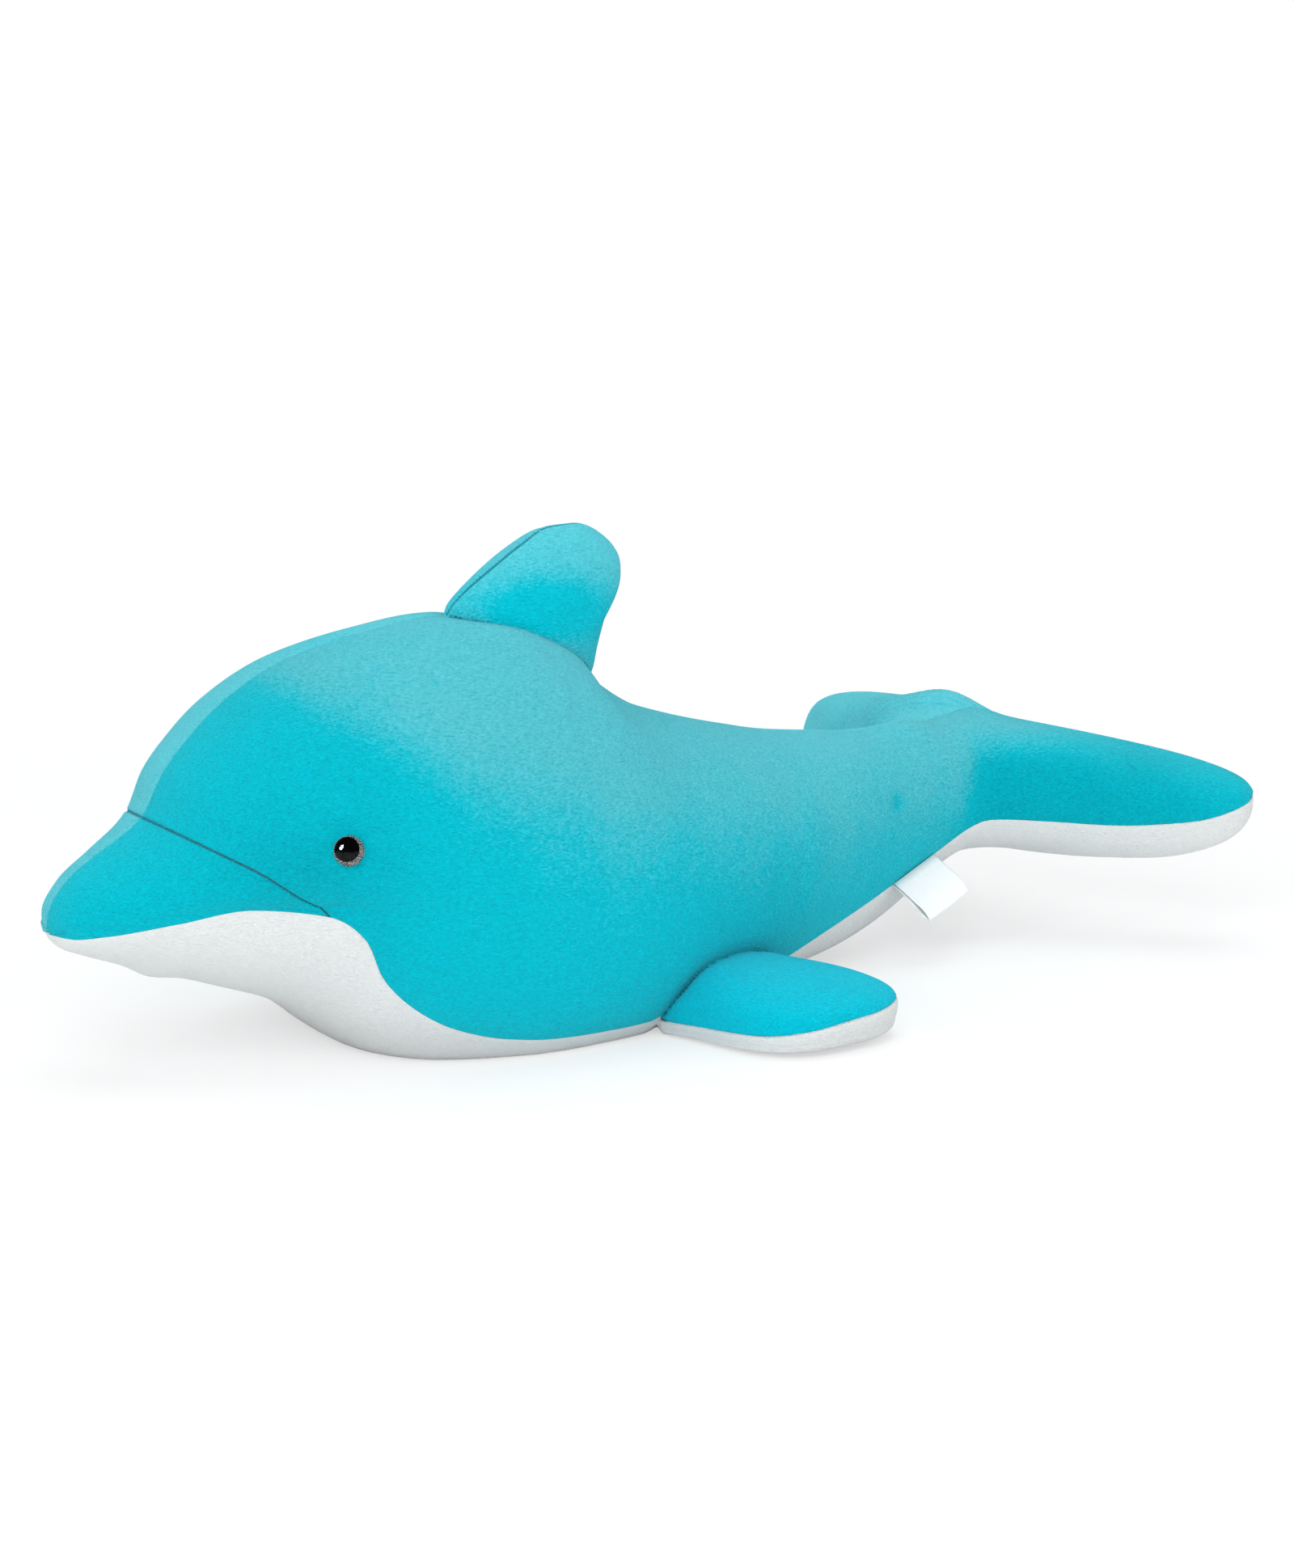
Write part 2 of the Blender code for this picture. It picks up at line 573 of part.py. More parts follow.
def make_eye(side, word, panel, filling):
    """Eye with its glitter disc, its post through the cloth and its lock washer."""
    seat = seat_on(panel, side)
    disc_top = EYE_SEAT_CLEARANCE + DISC_THICKNESS
    dome_base = disc_top + SEAM_GAP
    post_end = dome_base - EYE_POST_LENGTH
    washer_top = -PLUSH_THICKNESS - WASHER_CLEARANCE
    washer_bottom = washer_top - WASHER_THICKNESS
    hole = EYE_POST_RADIUS + SEAM_GAP
    dome = [(EYE_RADIUS * math.sin(i / DOME_POINTS * math.pi / 2),
             dome_base + EYE_RIM + EYE_DOME_HEIGHT * math.cos(i / DOME_POINTS * math.pi / 2))
            for i in range(DOME_POINTS + 1)]
    dome[0] = (0.0, dome_base + EYE_RIM + EYE_DOME_HEIGHT)
    shank = [(EYE_RADIUS, dome_base), (EYE_POST_RADIUS, dome_base), (EYE_POST_RADIUS, post_end),
             (0.0, post_end)]
    pocket = [(0.0, SEAM_GAP), (WASHER_RADIUS + SEAM_GAP, SEAM_GAP),
              (WASHER_RADIUS + SEAM_GAP, washer_bottom - SEAM_GAP), (hole, washer_bottom - SEAM_GAP),
              (hole, post_end - SEAM_GAP), (0.0, post_end - SEAM_GAP)]
    eyelet = [(0.0, SEAM_GAP * 5), (hole, SEAM_GAP * 5), (hole, washer_top), (0.0, washer_top)]
    pieces = [turned(word + "_eye", dome + shank, EYE_PLASTIC, DOLPHIN),
              turned(word + "_eye_glitter_disc",
                     ring_profile(hole, EYE_RADIUS, disc_top, EYE_SEAT_CLEARANCE), GLITTER,
                     DOLPHIN, closed=True),
              turned(word + "_eye_washer",
                     ring_profile(hole, WASHER_RADIUS, washer_top, washer_bottom),
                     WASHER_PLASTIC, DOLPHIN, closed=True),
              hide_cutter(turned(word + "_eye_pocket", pocket, STUFFING, CUTTERS)),
              hide_cutter(turned(word + "_eyelet", eyelet, STUFFING, CUTTERS))]
    for piece in pieces:
        piece.matrix_world = seat
    cut_away(filling, pieces[3])
    cut_away(panel, pieces[4])


def make_label():
    """Folded ribbon whose two ends sit at the left seam of the tail."""
    ring = np.array([LABEL_RING])
    angle = seam_angle(ring)
    place = Vector(skin_point(ring, angle, 1)[0])
    ahead = Vector((skin_point(ring + 0.3, seam_angle(ring + 0.3), 1)
                    - skin_point(ring - 0.3, seam_angle(ring - 0.3), 1))[0])
    out = Vector(-surface_normals(lambda a, b: skin_point(a, b, 1), ring, angle,
                                  (0.0, len(BODY_RINGS) - 1.0, 0.0, math.pi))[0])
    along = ahead.normalized()
    out = Matrix.Rotation(LABEL_TILT, 3, along) @ (out - along * out.dot(along)).normalized()
    flat = along.cross(out)
    straight = LABEL_DROP - LABEL_FOLD_RADIUS
    outer = LABEL_FOLD_RADIUS + LABEL_RIBBON / 2
    inner = LABEL_FOLD_RADIUS - LABEL_RIBBON / 2

    def bowed(drop):
        return LABEL_BOW * (1.0 - math.cos(drop / LABEL_DROP * math.pi / 2))

    drops = [LABEL_SEAT + (straight - LABEL_SEAT) * i / LABEL_POINTS for i in range(LABEL_POINTS + 1)]
    turns = [math.pi * i / LABEL_POINTS for i in range(1, LABEL_POINTS)]
    outline = [(drop, bowed(drop) + outer) for drop in drops]
    outline += [(straight + outer * math.sin(t), bowed(straight) + outer * math.cos(t)) for t in turns]
    outline += [(drop, bowed(drop) - outer) for drop in reversed(drops)]
    outline += [(drop, bowed(drop) - inner) for drop in drops]
    outline += [(straight + inner * math.sin(t), bowed(straight) - inner * math.cos(t)) for t in turns]
    outline += [(drop, bowed(drop) + inner) for drop in reversed(drops)]
    curve = bpy.data.curves.new("label", "CURVE")
    curve.dimensions = "2D"
    curve.fill_mode = "BOTH"
    curve.extrude = LABEL_WIDTH / 2
    spline = curve.splines.new("POLY")
    spline.points.add(len(outline) - 1)
    for point, (drop, rise) in zip(spline.points, outline):
        point.co = (drop, rise, 0.0, 1.0)
    spline.use_cyclic_u = True
    curve.materials.append(SATIN)
    label = bpy.data.objects.new("label", curve)
    DOLPHIN.objects.link(label)
    frame = Matrix((out, flat, out.cross(flat))).transposed().to_4x4()
    frame.translation = place
    label.matrix_world = frame


def make_dolphin():
    """All pieces, skin first, then what the body surface cuts."""
    panels = {side: make_side_and_snout(side, word) for side, word in ((1, "left"), (-1, "right"))}
    make_belly()
    filling = whole_skin("body_filling", PLUSH_THICKNESS + SEAM_GAP, STUFFING, DOLPHIN)
    body_cutter = hide_cutter(whole_skin("body_cutter", -SEAM_GAP, STUFFING, CUTTERS))
    pieces = make_fin()
    for side, word in ((1, "left"), (-1, "right")):
        pieces += make_flipper(side, word)
    for piece in pieces:
        cut_away(piece, body_cutter)
    for side, word in ((1, "left"), (-1, "right")):
        make_eye(side, word, panels[side], filling)
    make_label()


make_dolphin()
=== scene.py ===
# %% [markdown]
# # A sewn plush dolphin
# The toy is a stuffed skin of short pile plush: two blue sides, two blue snout
# panels and a white belly, with a back fin and two flippers sewn on. This
# lesson dresses the imported CAD model. Every shape is a surface worked out with
# numpy from the same numbers as the solids, at a finer step, so the cloth can
# show what the solids leave out: seams, puckers, folds and the nap of the pile.
# The colour of the pile also carries painted light and shade.

# %% Load the imported model
import math

import bmesh
import bpy
import numpy as np
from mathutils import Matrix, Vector


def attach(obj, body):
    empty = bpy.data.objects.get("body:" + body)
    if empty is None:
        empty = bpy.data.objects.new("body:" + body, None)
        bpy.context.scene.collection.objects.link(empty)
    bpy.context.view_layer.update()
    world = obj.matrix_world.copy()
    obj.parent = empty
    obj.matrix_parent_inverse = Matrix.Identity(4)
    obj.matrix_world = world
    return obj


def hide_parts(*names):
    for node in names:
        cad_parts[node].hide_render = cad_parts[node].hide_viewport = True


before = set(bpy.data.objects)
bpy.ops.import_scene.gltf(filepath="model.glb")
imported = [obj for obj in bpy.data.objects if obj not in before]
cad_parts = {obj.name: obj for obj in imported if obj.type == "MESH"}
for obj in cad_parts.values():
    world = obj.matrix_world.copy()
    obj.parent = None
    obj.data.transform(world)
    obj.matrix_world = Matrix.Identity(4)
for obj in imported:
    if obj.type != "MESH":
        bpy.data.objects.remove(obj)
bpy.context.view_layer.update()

# %% [markdown]
# ## Camera
# The photograph looks from in front of the toy's left side and a little from
# above. A long lens at 2.2 m gives its mild perspective. The place was found
# by fitting the eye, the seams and the outline.

# %% Place the camera
MM = 0.001
VIEW_AZIMUTH = math.radians(-30.0)
VIEW_ELEVATION = math.radians(12.0)
VIEW_DISTANCE = 2.2
VIEW_TARGET = Vector((0.0, 0.0, 0.11))
SENSOR_WIDTH = 36.0
LENS_LENGTH = 97.25
back = Vector((math.sin(VIEW_AZIMUTH) * math.cos(VIEW_ELEVATION),
               -math.cos(VIEW_AZIMUTH) * math.cos(VIEW_ELEVATION), math.sin(VIEW_ELEVATION)))
camera_data = bpy.data.cameras.new("camera")
camera_data.sensor_width = SENSOR_WIDTH
camera_data.lens = LENS_LENGTH
camera = bpy.data.objects.new("camera", camera_data)
camera.location = VIEW_TARGET + back * VIEW_DISTANCE
camera.rotation_mode = "QUATERNION"
camera.rotation_quaternion = (-back).to_track_quat("-Z", "Y")
bpy.context.scene.collection.objects.link(camera)
bpy.context.scene.camera = camera
print("camera at", [round(v, 3) for v in camera.location])

# %% [markdown]
# ## The numbers of the stuffed body
# A stuffed body could be sculpted or lofted. Here it is lofted: each ring of
# the table is a cross-section, and a smooth curve through each column gives
# the values between the rings. The same table makes the solids, so the cloth
# lies where the solids are.

# %% Ring table and tail bend
# Each ring: station and height of its top, station, half width and height of
# its side, height of its bottom and of the seam between blue and white, the
# fullness of its upper and lower part, and how far it is drawn into a fluke
BODY_RINGS = np.array([
    (-333, 72, -333, 0, 72, 72, 72, 2.0, 2.0, 0), (-331, 84, -328, 17, 76, 65, 72, 1.9, 2.0, 0),
    (-323, 97, -314, 31, 79, 58, 74, 1.85, 2.0, 0), (-308, 108, -286, 47, 84, 49, 80, 1.75, 2.0, 0),
    (-296, 115, -255, 65, 88, 38, 87, 1.75, 2.0, 0), (-284, 124, -222, 81, 88, 26, 83, 1.9, 2.1, 0),
    (-272, 145, -206, 88, 87, 15, 71, 2.05, 2.2, 0), (-258, 161, -196, 91, 85, 7, 50, 2.1, 2.4, 0),
    (-238, 178, -180, 95, 83, -3, 33, 2.15, 2.7, 0), (-205, 195, -158, 100, 80, -10, 20, 2.15, 3.0, 0),
    (-161, 205, -130, 104, 76, -13, 12, 2.15, 3.2, 0), (-118, 210, -103, 105, 73, -14, 9, 2.1, 3.4, 0),
    (-75, 205, -70, 103, 71, -14, 8, 2.1, 3.4, 0), (-50, 190, -48, 99, 70, -14, 8, 2.1, 3.2, 0),
    (-31, 165, -30, 95, 70, -13, 9, 2.1, 3.1, 0), (-19, 156, -15, 91, 70, -11, 10, 2.1, 2.8, 0),
    (0, 150, 0, 87, 70, -9, 11, 2.1, 2.6, 0), (35, 139, 35, 74, 72, -5, 17, 2.0, 2.2, 0),
    (70, 131, 70, 61, 76, 0, 26, 2.0, 2.0, 0), (110, 125, 110, 49, 78, 5, 37, 2.0, 2.0, 0),
    (145, 120, 145, 42, 79, 13, 46, 2.0, 2.0, 0), (178, 117, 178, 40, 77, 28, 56, 2.0, 2.0, 0.3),
    (205, 116, 204, 47, 73, 43, 69, 2.1, 2.0, 1), (222, 117, 219, 66, 70, 46, 70, 2.3, 2.1, 1),
    (236, 117, 232, 86, 70, 45, 70, 2.4, 2.2, 1), (248, 116, 243, 108, 71, 43, 71, 2.4, 2.4, 1),
    (258, 114, 257, 127, 73, 42, 73, 2.4, 2.6, 1), (266, 112, 274, 146, 77, 42, 77, 2.3, 2.8, 1),
    (272, 110, 295, 154, 83, 46, 83, 2.2, 3.0, 1), (277, 107, 310, 146, 87, 53, 87, 2.2, 3.0, 1),
    (281, 105, 312, 112, 91, 65, 91, 2.3, 2.6, 1), (284, 102, 305, 67, 93, 77, 93, 2.4, 2.2, 1),
    (287, 99, 294, 25, 93, 85, 93, 2.3, 2.0, 1), (288, 98, 288, 0, 93, 87, 93, 2.0, 2.0, 1)])
BODY_RINGS[:, :7] *= MM
SNOUT_SEAM_RING = 5.0
SADDLE_RINGS = (10.5, 19.0)
SADDLE_REACH = 1.3
SADDLE_WEIGHTS = ((-1, 0.12), (-0.5, 0.22), (0, 0.32), (0.5, 0.22), (1, 0.12))
LAST_RING = len(BODY_RINGS) - 1.0
BEND_LENGTH = 0.140
TAIL_BEND = math.radians(18.0)
TAIL_ROLL = math.radians(2.0)


def smooth_values(knots, values, at):
    """A cubic between each two knots whose slopes never overshoot the values."""
    step = np.diff(knots)
    slope = np.diff(values) / step
    weight_a = 2.0 * step[1:] + step[:-1]
    weight_b = step[1:] + 2.0 * step[:-1]
    same_way = slope[1:] * slope[:-1] > 0.0
    safe_a = np.where(same_way, slope[:-1], 1.0)
    safe_b = np.where(same_way, slope[1:], 1.0)
    mean = (weight_a + weight_b) / (weight_a / safe_a + weight_b / safe_b)
    tangent = np.concatenate([slope[:1], np.where(same_way, mean, 0.0), slope[-1:]])
    index = np.clip(np.searchsorted(knots, at) - 1, 0, len(step) - 1)
    t = (at - knots[index]) / step[index]
    start = values[index] * (1.0 + 2.0 * t) * (1.0 - t) ** 2
    leave = tangent[index] * step[index] * t * (1.0 - t) ** 2
    end = values[index + 1] * t * t * (3.0 - 2.0 * t)
    arrive = tangent[index + 1] * step[index] * t * t * (t - 1.0)
    return start + leave + end + arrive


def ring_values(ring):
    """The ten values of the table at a ring number; over the saddle behind the fin, a mean of near rings."""
    numbers = np.arange(len(BODY_RINGS), dtype=float)
    ring = np.asarray(ring, dtype=float)
    inside = np.minimum(ring - SADDLE_RINGS[0], SADDLE_RINGS[1] - ring)
    reach = SADDLE_REACH * np.clip(inside / 1.5, 0.0, 1.0)
    return [sum(weight * smooth_values(numbers, BODY_RINGS[:, column], ring + reach * shift)
                for shift, weight in SADDLE_WEIGHTS)
            for column in range(BODY_RINGS.shape[1])]


def bend_tail(station, across, height):
    """Place of a point along, across and up: the spine follows an arc, then goes on straight."""
    turned = np.clip(station / BEND_LENGTH, 0.0, 1.0)
    angle = turned * TAIL_BEND
    radius = BEND_LENGTH / TAIL_BEND
    beyond = np.maximum(station - BEND_LENGTH, 0.0)
    x = np.minimum(station, 0.0) + (radius + across) * np.sin(angle) + beyond * np.cos(angle)
    y = radius * (1.0 - np.cos(angle)) + beyond * np.sin(angle) - across * np.cos(angle)
    return np.stack([x, y, np.maximum(height - across * np.sin(TAIL_ROLL) * turned, 0.0)], axis=-1)


def seam_drop(ring):
    """How far the seam lies down the lower half of a ring, as a share of it, and that half's fullness."""
    _, _, _, _, side_z, bottom_z, seam_z, _, lower, _ = ring_values(ring)
    return np.clip((side_z - seam_z) / np.maximum(side_z - bottom_z, 1e-6), 0.0, 1.0), lower


def seam_angle(ring):
    """Angle from the back at which the blue cloth meets the white one."""
    drop, lower = seam_drop(ring)
    return math.pi / 2 + np.arcsin(drop ** (lower / 2.0))


def blue_angle(ring, share):
    """Angle at a share of the way from the back to the seam: even in angle above, even in height below."""
    drop, lower = seam_drop(ring)
    whole = seam_angle(ring)
    half = math.pi / 2 / whole
    part = np.clip((share - half) / np.maximum(1.0 - half, 1e-9), 0.0, 1.0)
    return np.where(share < half, share * whole, math.pi / 2 + np.arcsin((part * drop) ** (lower / 2.0)))


def skin_point(ring, angle, side):
    """Point of the skin, angle 0 on the back and pi on the belly, side 1 on the left.

    Each quarter of a ring is a superellipse: cosine and sine of the angle, both
    to the power of 2 / fullness, times the half width and the half height.
    """
    top_s, top_z, side_s, width, side_z, bottom_z, _, upper, lower, drawn = ring_values(ring)
    above = np.clip(angle, 0.0, math.pi / 2)
    below = np.clip(angle - math.pi / 2, 0.0, math.pi / 2)
    up = np.cos(above).clip(0.0) ** (2.0 / upper)
    out = np.sin(above) ** (2.0 / upper)
    inward = np.cos(below).clip(0.0) ** (2.0 / lower)
    down = np.sin(below) ** (2.0 / lower)
    is_upper = angle <= math.pi / 2
    lean = (1.0 - drawn) * (1.0 - up) + drawn * out
    bottom_s = side_s * (1.0 - drawn) + top_s * drawn
    lower_s = bottom_s + (side_s - bottom_s) * ((1.0 - drawn) + drawn * inward)
    station = np.where(is_upper, top_s + (side_s - top_s) * lean, lower_s)
    across = width * np.where(is_upper, out, inward)
    height = np.where(is_upper, side_z + (top_z - side_z) * up, side_z - (side_z - bottom_z) * down)
    return bend_tail(station, side * across, height)


print("body of", len(BODY_RINGS), "rings, tail turned", round(math.degrees(TAIL_BEND)), "degrees")

# %% [markdown]
# ## Grids that are fine at the seams
# A seam's groove is about a millimetre wide and the body half a metre long. An
# even grid would need millions of faces, so the steps of this one shrink
# towards the edges of each panel, where the seams are.

# %% Helpers for rows, columns and normals
def crowded(count, at_start=True, at_end=True, tightness=0.86):
    """Shares 0 to 1: the count's own share less a sine of it, which packs the named ends."""
    share = np.linspace(0.0, 1.0, count + 1)
    if at_start and at_end:
        return share - tightness / (2 * math.pi) * np.sin(2 * math.pi * share)
    if at_start:
        return share - tightness / math.pi * np.sin(math.pi * share)
    if at_end:
        return share + tightness / math.pi * np.sin(math.pi * share)
    return share


def ring_path(first, last):
    """Fine ring numbers and the way along the toy to each, the longer of spine and side."""
    fine = np.linspace(first, last, 4000)
    lines = [skin_point(fine, np.full_like(fine, angle), 1) for angle in (0.0, math.pi / 2)]
    steps = [np.linalg.norm(np.diff(line, axis=0), axis=1) for line in lines]
    return fine, np.concatenate([[0.0], np.cumsum(np.maximum(steps[0], steps[1]))])


def even_rings(first, last, spacing, at_start=False, at_end=False):
    """Ring numbers whose rows lie evenly along the toy, packed at the named ends."""
    fine, path = ring_path(first, last)
    share = crowded(int(path[-1] / spacing), at_start, at_end)
    return np.interp(share * path[-1], path, fine)


def outward_normals(points, facing):
    """Unit normals of a grid: its slope along the rows crossed with its slope across them."""
    normal = np.cross(np.gradient(points, axis=0), np.gradient(points, axis=1)) * facing
    return normal / np.maximum(np.linalg.norm(normal, axis=-1, keepdims=True), 1e-12)


def running_length(points, axis):
    """Way walked along one direction of a grid, from its first line."""
    step = np.linalg.norm(np.diff(points, axis=axis), axis=-1)
    start = np.zeros_like(np.take(step, [0], axis=axis))
    return np.concatenate([start, np.cumsum(step, axis=axis)], axis=axis)


def bump_curve(value, centre, width):
    """Bell curve: e to the minus square of the distance from the centre over the width."""
    return np.exp(-((value - centre) / width) ** 2)


def smooth_step(value, low, high):
    """0 below low, 1 above high, an S-shaped cubic between."""
    t = np.clip((value - low) / (high - low), 0.0, 1.0)
    return t * t * (3.0 - 2.0 * t)


print("first steps of 128 packed columns:", np.round(np.diff(crowded(128))[:4] * 1000, 2), "thousandths")

# %% [markdown]
# ## Stuffing pressure
# Stuffing pushes the cloth out everywhere except at the seams, which hold it.
# The bulges could be painted by hand. They are found here with Blender's Cloth:
# a coarse copy of the skin starts about 2 mm too small, its seams are pinned, and
# pressure blows it up for 20 frames. Its grid has the same rings and angles as
# the fine panels, so how far it moved can be read off for any of their points.

# %% Lines and faces of the skin
def body_lines(rings, blue_shares, white_shares, side):
    """Skin grid of one side, back to belly: shares of the blue part, then of the white part."""
    rings = rings[:, None] if rings.ndim == 1 else rings
    seam = seam_angle(rings[:, :1] if len(white_shares) > 1 else rings)
    blue = blue_angle(rings, blue_shares[None, :])
    if len(white_shares) == 1:
        return skin_point(np.broadcast_to(rings, blue.shape), blue, side)
    angle = np.concatenate([blue, seam + white_shares[None, 1:] * (math.pi - seam)], axis=1)
    return skin_point(np.broadcast_to(rings, angle.shape), angle, side)


def grid_faces(rows, columns, closed=False, flip=False):
    """Corner numbers of the four-sided faces of a grid, row by row."""
    number = np.arange(rows * columns).reshape(rows, columns)
    if closed:
        number = np.concatenate([number, number[:, :1]], axis=1)
    corners = [number[:-1, :-1], number[1:, :-1], number[1:, 1:], number[:-1, 1:]]
    if flip:
        corners.reverse()
    return np.stack(corners, axis=-1).reshape(-1, 4)


print("a grid of 3 by 4 points has", len(grid_faces(3, 4)), "faces")

# %% [markdown]
# The simulation serves the body, the fin and the flippers, so it is one
# function. The copy is thrown away afterwards: only the way that each point
# moved is kept, so the fine panels stay plain grids.

# %% Pressure by cloth simulation
SWELL_FRAMES = 20
SWELL_PRESSURE = 4.0


def pressed_out(points, pinned, facing, stiffness):
    """How far each point of a grid of closed loops moves when the cloth is blown up."""
    rows, columns = points.shape[:2]
    mesh = bpy.data.meshes.new("swell")
    faces = grid_faces(rows, columns, closed=True, flip=facing < 0)
    mesh.from_pydata(points.reshape(-1, 3).tolist(), [], faces.tolist())
    copy = bpy.data.objects.new("swell", mesh)
    bpy.context.scene.collection.objects.link(copy)
    group = copy.vertex_groups.new(name="pinned")
    group.add(np.flatnonzero(pinned.reshape(-1)).tolist(), 1.0, "REPLACE")
    cloth = copy.modifiers.new("cloth", "CLOTH")
    settings = cloth.settings
    settings.quality = 6
    settings.mass = 0.25
    settings.tension_stiffness = stiffness
    settings.compression_stiffness = stiffness
    settings.shear_stiffness = stiffness / 3
    settings.bending_stiffness = 0.4
    settings.use_pressure = True
    settings.uniform_pressure_force = SWELL_PRESSURE
    settings.vertex_group_mass = "pinned"
    settings.effector_weights.gravity = 0.0
    cloth.collision_settings.use_collision = False
    cloth.point_cache.frame_start = 1
    cloth.point_cache.frame_end = SWELL_FRAMES
    for frame_number in range(1, SWELL_FRAMES + 1):
        bpy.context.scene.frame_set(frame_number)
    evaluated = copy.evaluated_get(bpy.context.evaluated_depsgraph_get())
    moved = np.empty(len(evaluated.data.vertices) * 3)
    evaluated.data.vertices.foreach_get("co", moved)
    bpy.context.scene.frame_set(1)
    bpy.data.objects.remove(copy)
    return moved.reshape(rows, columns, 3) - points


def relaxed(values, times):
    """Mean of each value and its four neighbours, over and over; columns close on themselves."""
    for _ in range(times):
        up = np.concatenate([values[:1], values[:-1]])
        down = np.concatenate([values[1:], values[-1:]])
        values = (values * 2 + up + down + np.roll(values, 1, 1) + np.roll(values, -1, 1)) / 6
    return values


print("cloth runs for", SWELL_FRAMES, "frames under a pressure of", SWELL_PRESSURE)

# %% [markdown]
# The body is blown up as one loop, round both sides. Its pinned lines are the
# seam along the back, the two seams at the white belly, the seam across the
# bridge of the snout and both ends.

# %% Blow up a coarse copy of the body
SWELL_BLUE = 26
SWELL_WHITE = 14
SWELL_START = 0.0022
SWELL_CAP = 0.0065
BODY_STIFFNESS = 6.0
swell_rings = even_rings(0.15, LAST_RING - 0.15, 0.0065)
sides = [body_lines(swell_rings, np.linspace(0, 1, SWELL_BLUE + 1),
                    np.linspace(0, 1, SWELL_WHITE + 1), side) for side in (1, -1)]
loop = np.concatenate([sides[0], sides[1][:, -2:0:-1]], axis=1)
padded_loop = np.concatenate([loop[:, -1:], loop, loop[:, :1]], axis=1)
loop_normal = outward_normals(padded_loop, -1)[:, 1:-1]
pinned = np.zeros(loop.shape[:2], dtype=bool)
pinned[:, [0, SWELL_BLUE, -SWELL_BLUE]] = True
snout_row = np.argmin(abs(swell_rings - SNOUT_SEAM_RING))
pinned[snout_row, :SWELL_BLUE + 1] = True
pinned[snout_row, -SWELL_BLUE:] = True
pinned[[0, -1]] = True
start = loop - loop_normal * (SWELL_START * ~pinned)[..., None]
moved = (pressed_out(start, pinned, -1, BODY_STIFFNESS) * loop_normal).sum(axis=-1)
swell_height = relaxed(np.clip(moved, SWELL_START, SWELL_CAP) * ~pinned - SWELL_START * ~pinned, 1)
columns = SWELL_BLUE + SWELL_WHITE
swell_table = {1: swell_height[:, :columns + 1],
               -1: np.concatenate([swell_height[:, :1], swell_height[:, :columns - 1:-1]], axis=1)}
print("cloth moved", round(float(moved.max()) * 1000, 1), "mm at most; heights",
      round(float(swell_height.min()) * 1000, 1), "to", round(float(swell_height.max()) * 1000, 1), "mm")


def swell_at(rings, blue_shares, white_shares, side):
    """Height of the blown-up cloth over the plain skin, between the four nearest coarse points."""
    table = swell_table[side]
    row = np.interp(rings, swell_rings, np.arange(len(swell_rings)))
    row = row[:, None] if row.ndim == 1 else row
    column = np.concatenate([blue_shares * SWELL_BLUE, SWELL_BLUE + white_shares[1:] * SWELL_WHITE])[None, :]
    whole_row = np.clip(row.astype(int), 0, table.shape[0] - 2)
    whole_column = np.clip(column.astype(int), 0, table.shape[1] - 2)
    past_row, past_column = row - whole_row, column - whole_column
    first, second = (table[whole_row + down, whole_column] * (1 - past_column)
                     + table[whole_row + down, whole_column + 1] * past_column for down in (0, 1))
    return first * (1 - past_row) + second * past_row


# %% [markdown]
# ## Back fin and flippers
# Each is a pillow: two panels sewn together at the edge and stuffed. The edge
# is a smooth curve through a few points; from there each panel rises over the
# stuffing towards the root, which is sunk in the body.

# %% Surfaces of the fin and flippers
FIN_EDGE = np.array([(-122, 203), (-113, 217), (-95, 233), (-78, 244), (-60, 251), (-42, 251), (-27, 244),
                     (-17, 231), (-17, 222), (-24, 212), (-29, 199), (-33, 186), (-36, 166)]) * MM
FIN_ROOT = (-0.119, -0.036)
FIN_ROOT_DEPTH = 0.018
FIN_HALF_THICKNESS = 0.027
FIN_SEAM_ASIDE = 0.009
FLIPPER_EDGE = np.array([(-44, 66, 7), (-38, 90, 8), (-31, 110, 9), (-25, 130, 10), (-17, 146, 11),
                         (-6, 156, 13), (8, 161, 15), (25, 160, 17), (42, 157, 18), (57, 149, 19),
                         (67, 137, 20), (68, 120, 20), (60, 98, 19), (50, 78, 18), (42, 60, 17)]) * MM
FLIPPER_ROOT = (-0.034, 0.018)
FLIPPER_ROOT_INSET = 0.050
FLIPPER_TOP_HEIGHT = 0.037
FLIPPER_PRESS = 2.6
FLIPPER_TOP_FULLNESS = 2.3
FLIPPER_UNDER_FULLNESS = 3.6
FLIPPER_FRONT_CLOSING = (0.03, 0.08)
FLIPPER_REAR_CLOSING = (0.90, 0.97)
EDGE_ROUNDING = 0.024
PILLOW_END = 0.03
PILLOW_ROWS = 120
PILLOW_COLUMNS = 72


def edge_curve(outline, share):
    """Smooth curve along the outline: the mean of seven near points of a cubic through it."""
    steps = np.linalg.norm(np.diff(outline, axis=0), axis=1)
    knots = np.concatenate([[0.0], np.cumsum(steps)]) / steps.sum()
    reach = np.minimum(EDGE_ROUNDING, np.minimum(share, 1.0 - share))
    return [sum(smooth_values(knots, outline[:, axis], share + reach * shift)
                for shift in np.linspace(-1, 1, 7)) / 7 for axis in range(outline.shape[1])]


